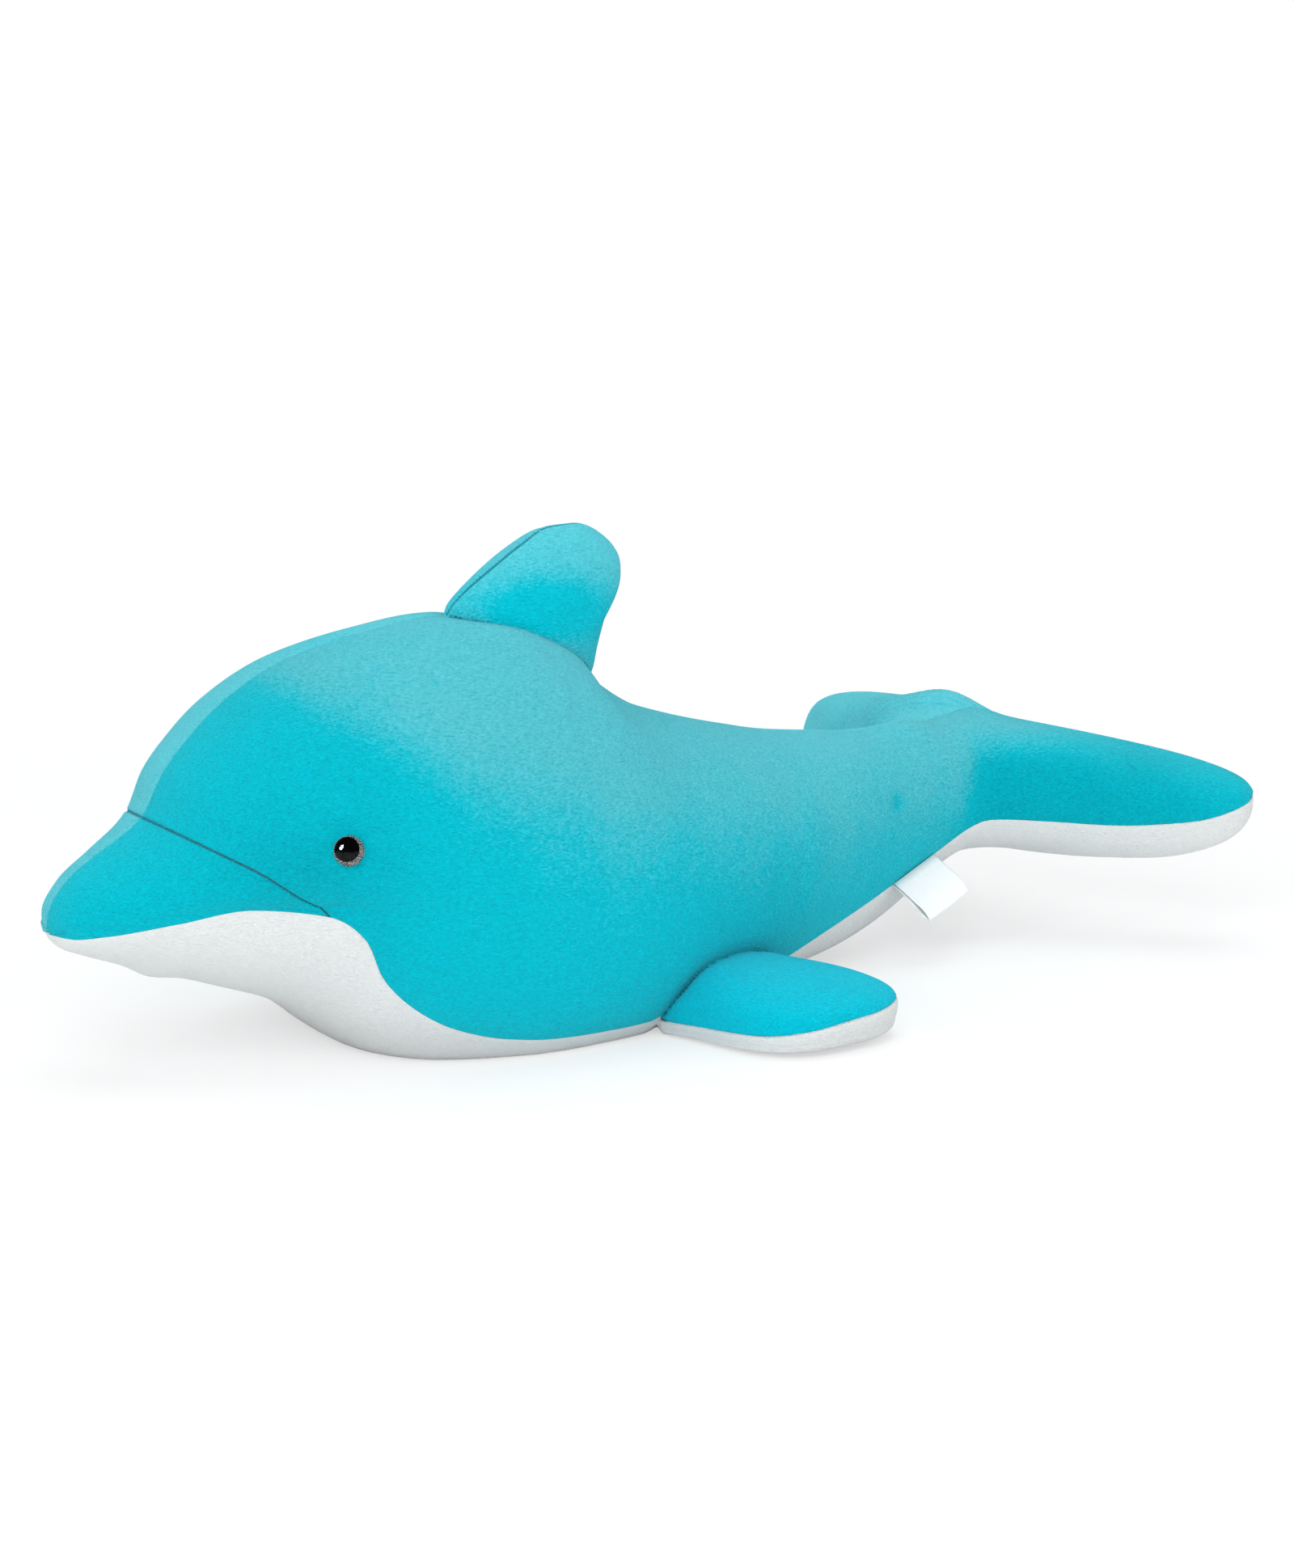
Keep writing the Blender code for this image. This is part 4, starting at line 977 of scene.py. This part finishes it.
# %% Side and snout panels
BLUE_ROOTS = ("fin_left", "fin_right", "left_flipper_top", "right_flipper_top",
              "left_flipper_underside", "right_flipper_underside")
WHITE_ROOTS = BLUE_ROOTS[2:]
trunk_rings = even_rings(SNOUT_SEAM_RING, LAST_RING, 0.0027, at_start=True)
snout_rings = even_rings(0.0, SNOUT_SEAM_RING, 0.0016, at_end=True)
shares = crowded(132)
SNOUT_SEAM_TURN = 0.20
no_share = np.zeros(1)
sag = smooth_step(shares, 0.58, 0.90) * np.clip((1.0 - shares) / 0.045, 0.0, 1.0)
for side, word in ((1, "left"), (-1, "right")):
    for name, rings in (("side", trunk_rings), ("snout", snout_rings)):
        near_seam = bump_curve(rings, SNOUT_SEAM_RING, 0.9)[:, None]
        bent = np.clip(rings[:, None] - SNOUT_SEAM_TURN * near_seam * sag[None, :], 0.0, LAST_RING)
        points = body_lines(bent, shares, no_share, side)
        normal = outward_normals(points, -side)
        edge, run, shown = seam_numbers(points, left=0.14, right=0.06, first=0.6 * (name == "side"),
                                        last=0.6 * (name == "snout"))
        root, way = root_distance(points, BLUE_ROOTS)
        swell = swell_at(bent, shares, no_share, side)
        points = points + normal * body_heights(points, swell, edge, shown, root, side)[..., None]
        points[..., 2] = np.maximum(points[..., 2], 0.0)
        # The far snout is pale, painted sheen; the near one is deep.
        snout_nap_and_painted_light = np.full_like(edge, 0.85 if side < 0 else -0.1)
        # Along the roots the dark seam line is widened and the pile darkened: painted shade in the crease.
        numbers = {"edge": np.minimum(edge, 0.5 * root), "run": np.where(root < edge, way, run),
                   "shown": np.where(root < edge, 0.85, shown),
                   "painted_light_and_mark": body_painted_light_and_mark(points, side) - 0.10 * bump_curve(root, 0.0, 0.007),
                   "nap_and_painted_light": body_nap_and_painted_light(points, side) if name == "side" else snout_nap_and_painted_light}
        full_name = {"side": word + "_side_cloth", "snout": "snout_" + word + "_cloth"}[name]
        node_name = {"side": word + "_side_panel", "snout": "snout_" + word + "_panel"}[name]
        piece = add_piece(full_name, points, -side, BLUE_PLUSH, [node_name], numbers)

# %% [markdown]
# ## White belly
# One panel runs from the chin to the undersides of the flukes. Its weight
# presses it flat on the floor, where the formula stops at height 0.

# %% Belly panel
body_rings = even_rings(0.0, LAST_RING, 0.0027)
white_shares = crowded(64, at_end=False)
seam_share = np.ones(1)
halves = [body_lines(body_rings, seam_share, white_shares, side) for side in (1, -1)]
swells = [swell_at(body_rings, seam_share, white_shares, side) for side in (1, -1)]
points = np.concatenate([halves[0], halves[1][:, -2::-1]], axis=1)
swell = np.concatenate([swells[0], swells[1][:, -2::-1]], axis=1)
normal = outward_normals(points, -1)
edge, run, shown = seam_numbers(points, left=0.06, right=0.06)
root, way = root_distance(points, WHITE_ROOTS)
side_sign = np.where(np.arange(points.shape[1]) < points.shape[1] // 2, 1, -1)[None, :]
points = points + normal * body_heights(points, swell, edge, shown, root, side_sign)[..., None]
points[..., 2] = np.maximum(points[..., 2], 0.0)
# The white pile is deeper towards the floor: painted shade under the body.
belly = add_piece("belly_cloth", points, -1, WHITE_PLUSH, ["belly_panel", "body_filling"],
                  {"edge": np.minimum(edge, root), "run": np.where(root < edge, way, run),
                   "shown": shown, "painted_light_and_mark": np.ones_like(edge),
                   "nap_and_painted_light": smooth_step(points[..., 2], 0.0, 0.05)})

# %% [markdown]
# ## Panels of the fin and flippers
# The same steps on the pillows: pressure, a groove at the edge seam, and a
# pinch where the root seam gathers them. Only the part outside the body shows.

# %% Blow up and dress the pillows
PILLOW_STIFFNESS = 8.0
COARSE_ROWS = 30
COARSE_COLUMNS = 20
PILLOW_START = 0.0012
PILLOW_CAP = 0.004


def pillow_swell(first, second, facing):
    """Height of both blown-up panels of a pillow; its edge seam and both roots are pinned."""
    grids = [pillow_grid(PILLOWS[name][0], COARSE_ROWS, COARSE_COLUMNS) for name in (first, second)]
    loop = np.concatenate([grids[0], grids[1][:, -2::-1]], axis=1)
    normal = outward_normals(loop, facing)
    pinned = np.zeros(loop.shape[:2], dtype=bool)
    pinned[:, [0, COARSE_COLUMNS, -1]] = True
    pinned[[0, -1]] = True
    start = loop - normal * (PILLOW_START * ~pinned)[..., None]
    moved = (pressed_out(start, pinned, facing, PILLOW_STIFFNESS) * normal).sum(axis=-1)
    height = np.clip(moved, 0.0, PILLOW_CAP) - PILLOW_START * ~pinned
    return height[:, :COARSE_COLUMNS + 1], height[:, :COARSE_COLUMNS - 1:-1]


def spread(table, rows, turns):
    """Values of a coarse table at evenly spaced rows and at the shares of its columns."""
    columns = np.linspace(0.0, 1.0, table.shape[1])
    at_columns = np.stack([np.interp(turns, columns, line) for line in table])
    at_rows = np.linspace(0.0, 1.0, table.shape[0])
    return np.stack([np.interp(np.linspace(0, 1, rows + 1), at_rows, at_columns[:, c])
                     for c in range(len(turns))], axis=1)


PILLOW_PAIRS = [("fin_left", "fin_right", "fin_filling"),
                ("left_flipper_top", "left_flipper_underside", "left_flipper_filling"),
                ("right_flipper_top", "right_flipper_underside", "right_flipper_filling")]
for first, second, filling in PILLOW_PAIRS:
    heights = pillow_swell(first, second, PILLOWS[first][1])
    for name, table in zip((first, second), heights):
        facing = PILLOWS[name][1]
        points = pillow_points[name]
        normal = outward_normals(points, facing)
        edge, run, shown = seam_numbers(points, right=0.7 if "fin" in name else 0.08)
        root, way = root_distance(points, [name])
        swell = spread(table, PILLOW_ROWS, crowded(PILLOW_COLUMNS, at_start=False))
        height = swell * (1.0 - bump_curve(root, 0.0, 0.012)) - 0.0010 * bump_curve(edge, 0.0, 0.0010)
        points = points + normal * (height - ROOT_PULL * bump_curve(root, 0.0, 0.004))[..., None]
        points[..., 2] = np.maximum(points[..., 2], 0.0)
        white = "underside" in name
        # Undersides are deeper towards the floor, painted shade; the fin is pale, painted light from above,
        # with two deeper patches; the flippers stay deep.
        if white:
            nap_and_painted_light = smooth_step(points[..., 2], 0.0, 0.03)
        elif "fin" in name:
            x, z = points[..., 0], points[..., 2]
            nap_and_painted_light = 0.95 - 1.25 * bump_curve(x, -0.072, 0.038) * bump_curve(z, 0.211, 0.017)
            nap_and_painted_light = nap_and_painted_light - 0.5 * bump_curve(x, -0.030, 0.030) * bump_curve(z, 0.190, 0.020)
        else:
            nap_and_painted_light = smooth_step(points[..., 0], 0.045, 0.085) * 0.15 - 0.12
        material = WHITE_PLUSH if white else PAINTED_LIGHTER_FIN_PLUSH if "fin" in name else PAINTED_LIGHTER_FLIPPER_PLUSH
        node_name = name + "_panel" if "fin" in name else name
        # Along the root the dark seam line is widened: painted shade in the crease.
        piece = add_piece(name + "_cloth", points, facing, material,
                          [node_name, filling] if name == first else [node_name],
                          {"edge": np.minimum(edge, 0.5 * root), "run": np.where(root < edge, way, run),
                           "shown": np.where(root < edge, 0.2 if white else 0.95, shown), "nap_and_painted_light": nap_and_painted_light,
                           "painted_light_and_mark": np.ones_like(edge)})

# %% [markdown]
# ## Eyes
# A safety eye is a clear dome over a black pupil, and a disc of glitter film
# shows as a ring round it. The dome could be one opaque piece with the ring
# painted on, but then the ring wouldn't grow and shift under the dome as it
# does. So the dome is turned from a profile in clear plastic, and a flat disc
# behind it holds the place across the eye in a UV map, from which its material
# draws pupil, glitter and rim.

# %% Materials of the eye
PUPIL_SHIFT = (-0.066, 0.056, 0.0)
PUPIL_RADIUS = (0.362, 0.374)
RIM_RADIUS = (0.455, 0.470)


def make_eye_back_material():
    """Black pupil a little off centre, a ring of silver squares and a dark rim."""
    material, tree, shader = new_material("pupil_and_glitter_ring", Roughness=0.6, Specular_IOR_Level=0.0)
    place = node(tree, "ShaderNodeUVMap", uv_map="across").outputs[0]
    middle = vector_maths(tree, "SUBTRACT", place, (0.5, 0.5, 0.0)).outputs[0]
    pupil = vector_maths(tree, "SUBTRACT", middle, PUPIL_SHIFT).outputs[0]
    far = vector_maths(tree, "LENGTH", middle).outputs["Value"]
    pupil_far = vector_maths(tree, "LENGTH", pupil).outputs["Value"]
    squares = node(tree, "ShaderNodeTexVoronoi", {"Vector": place, "Scale": 40.0, "Randomness": 0.35},
                   distance="CHEBYCHEV")
    spark = node(tree, "ShaderNodeSeparateColor", {0: squares.outputs["Color"]}).outputs[0]
    gap = ramped(tree, squares.outputs["Distance"], 0.30, 0.50, 1.0, 0.2)
    shine = maths(tree, "MULTIPLY_ADD", maths(tree, "POWER", spark, 1.6), 0.50, 0.03)
    silver = maths(tree, "MULTIPLY", shine, gap)
    film = node(tree, "ShaderNodeCombineColor", {0: silver, 1: silver, 2: silver}).outputs[0]
    ring = ramped(tree, pupil_far, *PUPIL_RADIUS)
    colour = blended(tree, ring, (0.001, 0.001, 0.0015, 1), film)
    colour = blended(tree, ramped(tree, far, *RIM_RADIUS), colour, (0.012, 0.012, 0.014, 1))
    tree.links.new(colour, shader.inputs["Base Color"])
    material.diffuse_color = (0.01, 0.01, 0.012, 1)
    return material


def mottled(tree, shader, scale, first, second):
    """Base colour from noise between two near tones; gives the place that the noise reads."""
    place = node(tree, "ShaderNodeTexCoord").outputs["Object"]
    colour = blended(tree, noise(tree, place, scale), (*first, 1), (*second, 1))
    tree.links.new(colour, shader.inputs["Base Color"])
    return place


EYE_BACK = make_eye_back_material()
CLEAR_DOME, tree, shader = new_material("clear_dome", Roughness=0.0, IOR=1.26, Transmission_Weight=1.0)
mottled(tree, shader, 400.0, (0.97, 0.98, 0.98), (1, 1, 1))
print("eye materials:", EYE_BACK.name, CLEAR_DOME.name)

# %% [markdown]
# The dome is a quarter ellipse with a short straight rim and a closed back,
# turned round the axis of the CAD disc. The places across the eye come from the
# same turning, so the UV map needs no unwrapping.

# %% Turn the domes
EYE_RADIUS = 0.0075
EYE_RIM = 0.0009
EYE_DOME_HEIGHT = 0.0050
EYE_BACK_HEIGHT = 0.0006


def disc_frame(name):
    """Middle and outward axis of a flat CAD disc, from the spread of its points."""
    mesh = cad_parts[name].data
    points = np.empty(len(mesh.vertices) * 3)
    mesh.vertices.foreach_get("co", points)
    points = points.reshape(-1, 3)
    lows, highs = points.min(axis=0), points.max(axis=0)
    middle = (lows + highs) / 2
    axis = np.linalg.svd(points - points.mean(axis=0), full_matrices=False)[2][2]
    return middle, axis * (np.sign(axis[1]) * np.sign(middle[1]))


def turned_grid(middle, axis, radius, height, turns=72):
    """Points of a profile's radius and height swung round the axis, and their places across the eye."""
    aside = np.cross([0.0, 0.0, 1.0], axis)
    aside /= np.linalg.norm(aside)
    upward = np.cross(axis, aside)
    turn = np.linspace(0.0, 2 * math.pi, turns + 1)
    across = radius[:, None] * np.cos(turn)[None, :]
    up = radius[:, None] * np.sin(turn)[None, :]
    points = middle + across[..., None] * aside + up[..., None] * upward + height[:, None, None] * axis
    return points, np.stack([across, up], axis=-1) / EYE_RADIUS / 2 + 0.5


def add_uv(piece, name, values):
    """Give a piece a UV map from one pair of numbers for each of its points."""
    mesh = piece.data
    corners = np.empty(len(mesh.loops), dtype=np.int32)
    mesh.loops.foreach_get("vertex_index", corners)
    layer = mesh.uv_layers.new(name=name)
    layer.data.foreach_set("uv", values[corners].astype(np.float32).reshape(-1))


quarter = np.linspace(0.0, math.pi / 2, 26)
DOME_RADIUS = np.concatenate([EYE_RADIUS * np.sin(quarter), EYE_RADIUS * np.array([1.0, 0.985, 0.5, 0.0])])
DOME_HEIGHT = np.concatenate([EYE_RIM + EYE_DOME_HEIGHT * np.cos(quarter), [0.0006, 0.0003, 0.0003, 0.0003]])
BACK_RADIUS = EYE_RADIUS * np.linspace(0.0, 0.975, 12)
BACK_HEIGHT = np.full(12, EYE_BACK_HEIGHT)
for word in ("left", "right"):
    middle, axis = disc_frame(word + "_eye_glitter_disc")
    points, _ = turned_grid(middle, axis, DOME_RADIUS, DOME_HEIGHT)
    dome = add_piece(word + "_eye_dome", points, 1, CLEAR_DOME, [word + "_eye"], thickness=0)
    points, across = turned_grid(middle, axis, BACK_RADIUS, BACK_HEIGHT)
    back_disc = add_piece(word + "_eye_back", points, 1, EYE_BACK, [], thickness=0)
    placed = np.empty(len(back_disc.data.vertices) * 3)
    back_disc.data.vertices.foreach_get("co", placed)
    index, _ = nearest(placed.reshape(-1, 3) - middle, (points - middle).reshape(-1, 3))
    add_uv(back_disc, "across", across.reshape(-1, 2)[index])
    for piece in (dome, back_disc):
        facing = np.empty(len(piece.data.polygons) * 3)
        piece.data.polygons.foreach_get("normal", facing)
        outward = float((facing.reshape(-1, 3) @ axis).mean())
        print(piece.name, "faces look along the eye's axis by", round(outward, 2))

# %% [markdown]
# ## Label
# A satin ribbon is folded double and its two ends are sewn into the seam under
# the tail. It is left bare. The ribbon follows a path down, round the fold and
# up again, and bows outwards; its width comes from a second parameter.

# %% Ribbon surface
LABEL_RING = np.array([20.2])
LABEL_WIDTH = 0.037
LABEL_DROP = 0.027
LABEL_TILT = math.radians(14.0)
RIBBON_THICKNESS = 0.0003
LABEL_ROWS = 81
LABEL_COLUMNS = 33


def label_frame():
    """Place on the seam, the way along it, the way out of the cloth and the ribbon's flat side."""
    at = [skin_point(ring, seam_angle(ring), 1)[0]
          for ring in (LABEL_RING, LABEL_RING - 0.3, LABEL_RING + 0.3)]
    along = (at[2] - at[1]) / np.linalg.norm(at[2] - at[1])
    round_it = skin_point(LABEL_RING, seam_angle(LABEL_RING) + 0.001, 1)[0] - at[0]
    out = -np.cross(along, round_it)
    out -= along * (out @ along)
    out /= np.linalg.norm(out)
    out = out * math.cos(LABEL_TILT) + np.cross(along, out) * math.sin(LABEL_TILT)
    return at[0], along, out, np.cross(along, out)


def label_points(share, width):
    """Ribbon: share 0 to 1 runs down the front layer, round the fold and up the back layer.

    The drop is a sine of the share to the power 0.55, and the layer is its cosine
    to the power 0.6, which puts the front at 1 and the back at -1.
    """
    place, along, out, flat = label_frame()
    drop = LABEL_DROP * np.sin(math.pi * share) ** 0.55
    gape = 0.0007 + 0.0012 * np.sin(2 * math.pi * np.minimum(share, 1 - share)) ** 2
    layer = np.cos(math.pi * share)
    layer = np.sign(layer) * np.abs(layer) ** 0.6
    bow = 0.0032 * (drop / LABEL_DROP) ** 2 + 0.0012 * np.cos(width * math.pi / 2) * (drop / LABEL_DROP)
    return (place + out * (drop + 0.0002)[..., None] + flat * (bow - 0.0012 + gape * layer)[..., None]
            + along * (width * LABEL_WIDTH / 2)[..., None])


share = np.linspace(0.0, 1.0, LABEL_ROWS)[:, None] * np.ones((1, LABEL_COLUMNS))
width = np.ones((LABEL_ROWS, 1)) * np.linspace(-1.0, 1.0, LABEL_COLUMNS)[None, :]
ribbon = label_points(share, width)
satin, tree, shader = new_material("satin_ribbon", Roughness=0.42, Sheen_Weight=0.1,
                                   Specular_IOR_Level=0.4)
place = mottled(tree, shader, 180.0, (0.86, 0.87, 0.88), (0.93, 0.94, 0.95))
weave = node(tree, "ShaderNodeTexWave", {"Vector": place, "Scale": 520.0, "Distortion": 1.5,
                                         "Detail": 1.0}).outputs[1]
threads = node(tree, "ShaderNodeBump", {"Height": weave, "Strength": 0.12, "Distance": 0.0002})
tree.links.new(threads.outputs["Normal"], shader.inputs["Normal"])
label = add_piece("satin_label", ribbon, 1, satin, ["label"], thickness=RIBBON_THICKNESS)

# %% [markdown]
# ## Hidden plastic and film
# The glitter discs and the lock washers keep their CAD shape and get their
# finishes: a sparkle of small squares, and plain moulded plastic.

# %% Finishes of the kept nodes
film, tree, shader = new_material("glitter_film", Roughness=0.3, Metallic=0.8)
place = node(tree, "ShaderNodeTexCoord").outputs["Object"]
cells = node(tree, "ShaderNodeTexVoronoi", {"Vector": place, "Scale": 2800.0})
spark = node(tree, "ShaderNodeSeparateColor", {0: cells.outputs["Color"]}).outputs[0]
colour = blended(tree, spark, (0.10, 0.10, 0.11, 1), (0.75, 0.75, 0.78, 1))
tree.links.new(colour, shader.inputs["Base Color"])
moulded, tree, shader = new_material("moulded_washer", Roughness=0.5)
mottled(tree, shader, 300.0, (0.76, 0.76, 0.74), (0.84, 0.84, 0.82))
for word in ("left", "right"):
    for name, finish in ((word + "_eye_glitter_disc", film), (word + "_eye_washer", moulded)):
        for index in range(len(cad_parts[name].material_slots)):
            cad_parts[name].material_slots[index].material = finish
print("kept nodes finished")

# %% [markdown]
# ## Floor, light and background
# A pale floor under soft light, so bright that it fades into the white
# background, keeps only a faint shadow.

# %% Floor
FLOOR_HEIGHT = -0.0004
FLOOR_HALF = 8
floor_mesh = bpy.data.meshes.new("floor")
corners = [(x * FLOOR_HALF, y * FLOOR_HALF, FLOOR_HEIGHT) for x, y in ((-1, -1), (1, -1), (1, 1), (-1, 1))]
floor_mesh.from_pydata(corners, [], [(0, 1, 2, 3)])
floor = bpy.data.objects.new("floor", floor_mesh)
bpy.context.scene.collection.objects.link(floor)
paper, tree, shader = new_material("pale_floor", Roughness=0.9, Specular_IOR_Level=0.0)
shader.inputs["Base Color"].default_value = (0.93, 0.935, 0.94, 1)
far = vector_maths(tree, "LENGTH", node(tree, "ShaderNodeTexCoord").outputs["Object"]).outputs["Value"]
rays = node(tree, "ShaderNodeLightPath")
fade = maths(tree, "MULTIPLY", ramped(tree, far, 0.45, 0.9, 0.55, 1.0), rays.outputs["Is Camera Ray"])
lit = node(tree, "ShaderNodeEmission", {"Color": (1, 1, 1, 1), "Strength": 1.0})
mixed = node(tree, "ShaderNodeMixShader", {0: fade, 1: shader.outputs[0], 2: lit.outputs[0]})
tree.links.new(mixed.outputs[0], tree.nodes["Material Output"].inputs["Surface"])
floor_mesh.materials.append(paper)
print("floor is", 2 * FLOOR_HALF, "m wide")

# %% [markdown]
# The camera sees a white world, and the toy is lit by a duller one, so that its
# colours render about as written. The lamps stay out of reflections. In their
# place the world shows one bright patch to glossy rays, which is the small
# highlight on the eye.

# %% World
world = bpy.data.worlds.new("studio")
bpy.context.scene.world = world
world.use_nodes = True
tree = world.node_tree
tree.nodes.clear()
path = node(tree, "ShaderNodeLightPath")
seen = maths(tree, "MAXIMUM", path.outputs["Is Camera Ray"], path.outputs["Is Transmission Ray"])
ambient = node(tree, "ShaderNodeBackground", {"Color": (0.97, 0.99, 1.0, 1), "Strength": 0.50})
white = node(tree, "ShaderNodeBackground", {"Color": (1, 1, 1, 1), "Strength": 1.0})
PATCH_DIRECTION = (-0.83, -0.38, 0.41)
ray = node(tree, "ShaderNodeTexCoord").outputs["Generated"]
look = vector_maths(tree, "DOT_PRODUCT", ray, PATCH_DIRECTION).outputs["Value"]
lamp = ramped(tree, look, 0.968, 0.978, 0.05, 110.0)
mirrored = node(tree, "ShaderNodeBackground", {"Color": (1, 1, 1, 1), "Strength": lamp})
lit_by = node(tree, "ShaderNodeMixShader", {0: path.outputs["Is Glossy Ray"], 1: ambient.outputs[0],
              2: mirrored.outputs[0]})
mixed = node(tree, "ShaderNodeMixShader", {0: seen, 1: lit_by.outputs[0], 2: white.outputs[0]})
node(tree, "ShaderNodeOutputWorld", {"Surface": mixed.outputs[0]})
print("bright patch lies towards", PATCH_DIRECTION)

# %% [markdown]
# Large softboxes stand all round, as in a product studio, so that no side goes
# dark and the folds are shaded gently. The key stands in front on the left.

# %% Softboxes
def softbox(name, place, target, size, power):
    """A square area lamp at a place, turned to a target and kept out of reflections."""
    lamp_data = bpy.data.lights.new(name, "AREA")
    lamp_data.size = size
    lamp_data.energy = power
    lamp = bpy.data.objects.new(name, lamp_data)
    lamp.location = place
    lamp.rotation_mode = "QUATERNION"
    lamp.rotation_quaternion = (Vector(target) - Vector(place)).to_track_quat("-Z", "Y")
    lamp.visible_glossy = False
    bpy.context.scene.collection.objects.link(lamp)


SOFTBOXES = [  # name, place, target, size in metres, power in watts
    ("key_softbox", (-1.6, -2.2, 2.4), (0, 0, 0.1), 1.8, 36.0),
    ("top_softbox", (0.4, 0.6, 2.8), (0, 0, 0.1), 2.4, 30.0),
    ("fill_softbox", (2.4, -1.2, 1.2), (0, 0, 0.1), 1.6, 15.0),
    ("front_softbox", (-0.7, -2.7, 0.55), (0, 0, 0.08), 1.6, 15.0),
    ("nose_softbox", (-2.7, 0.5, 1.3), (-0.1, 0, 0.1), 1.5, 12.0),
    ("small_softbox", (-2.6, -1.2, 1.3), (-0.2, -0.1, 0.1), 0.5, 12.0),
]
for lamp_values in SOFTBOXES:
    softbox(*lamp_values)
bpy.context.scene.view_settings.view_transform = "Standard"
print("lit by", len(SOFTBOXES), "softboxes")
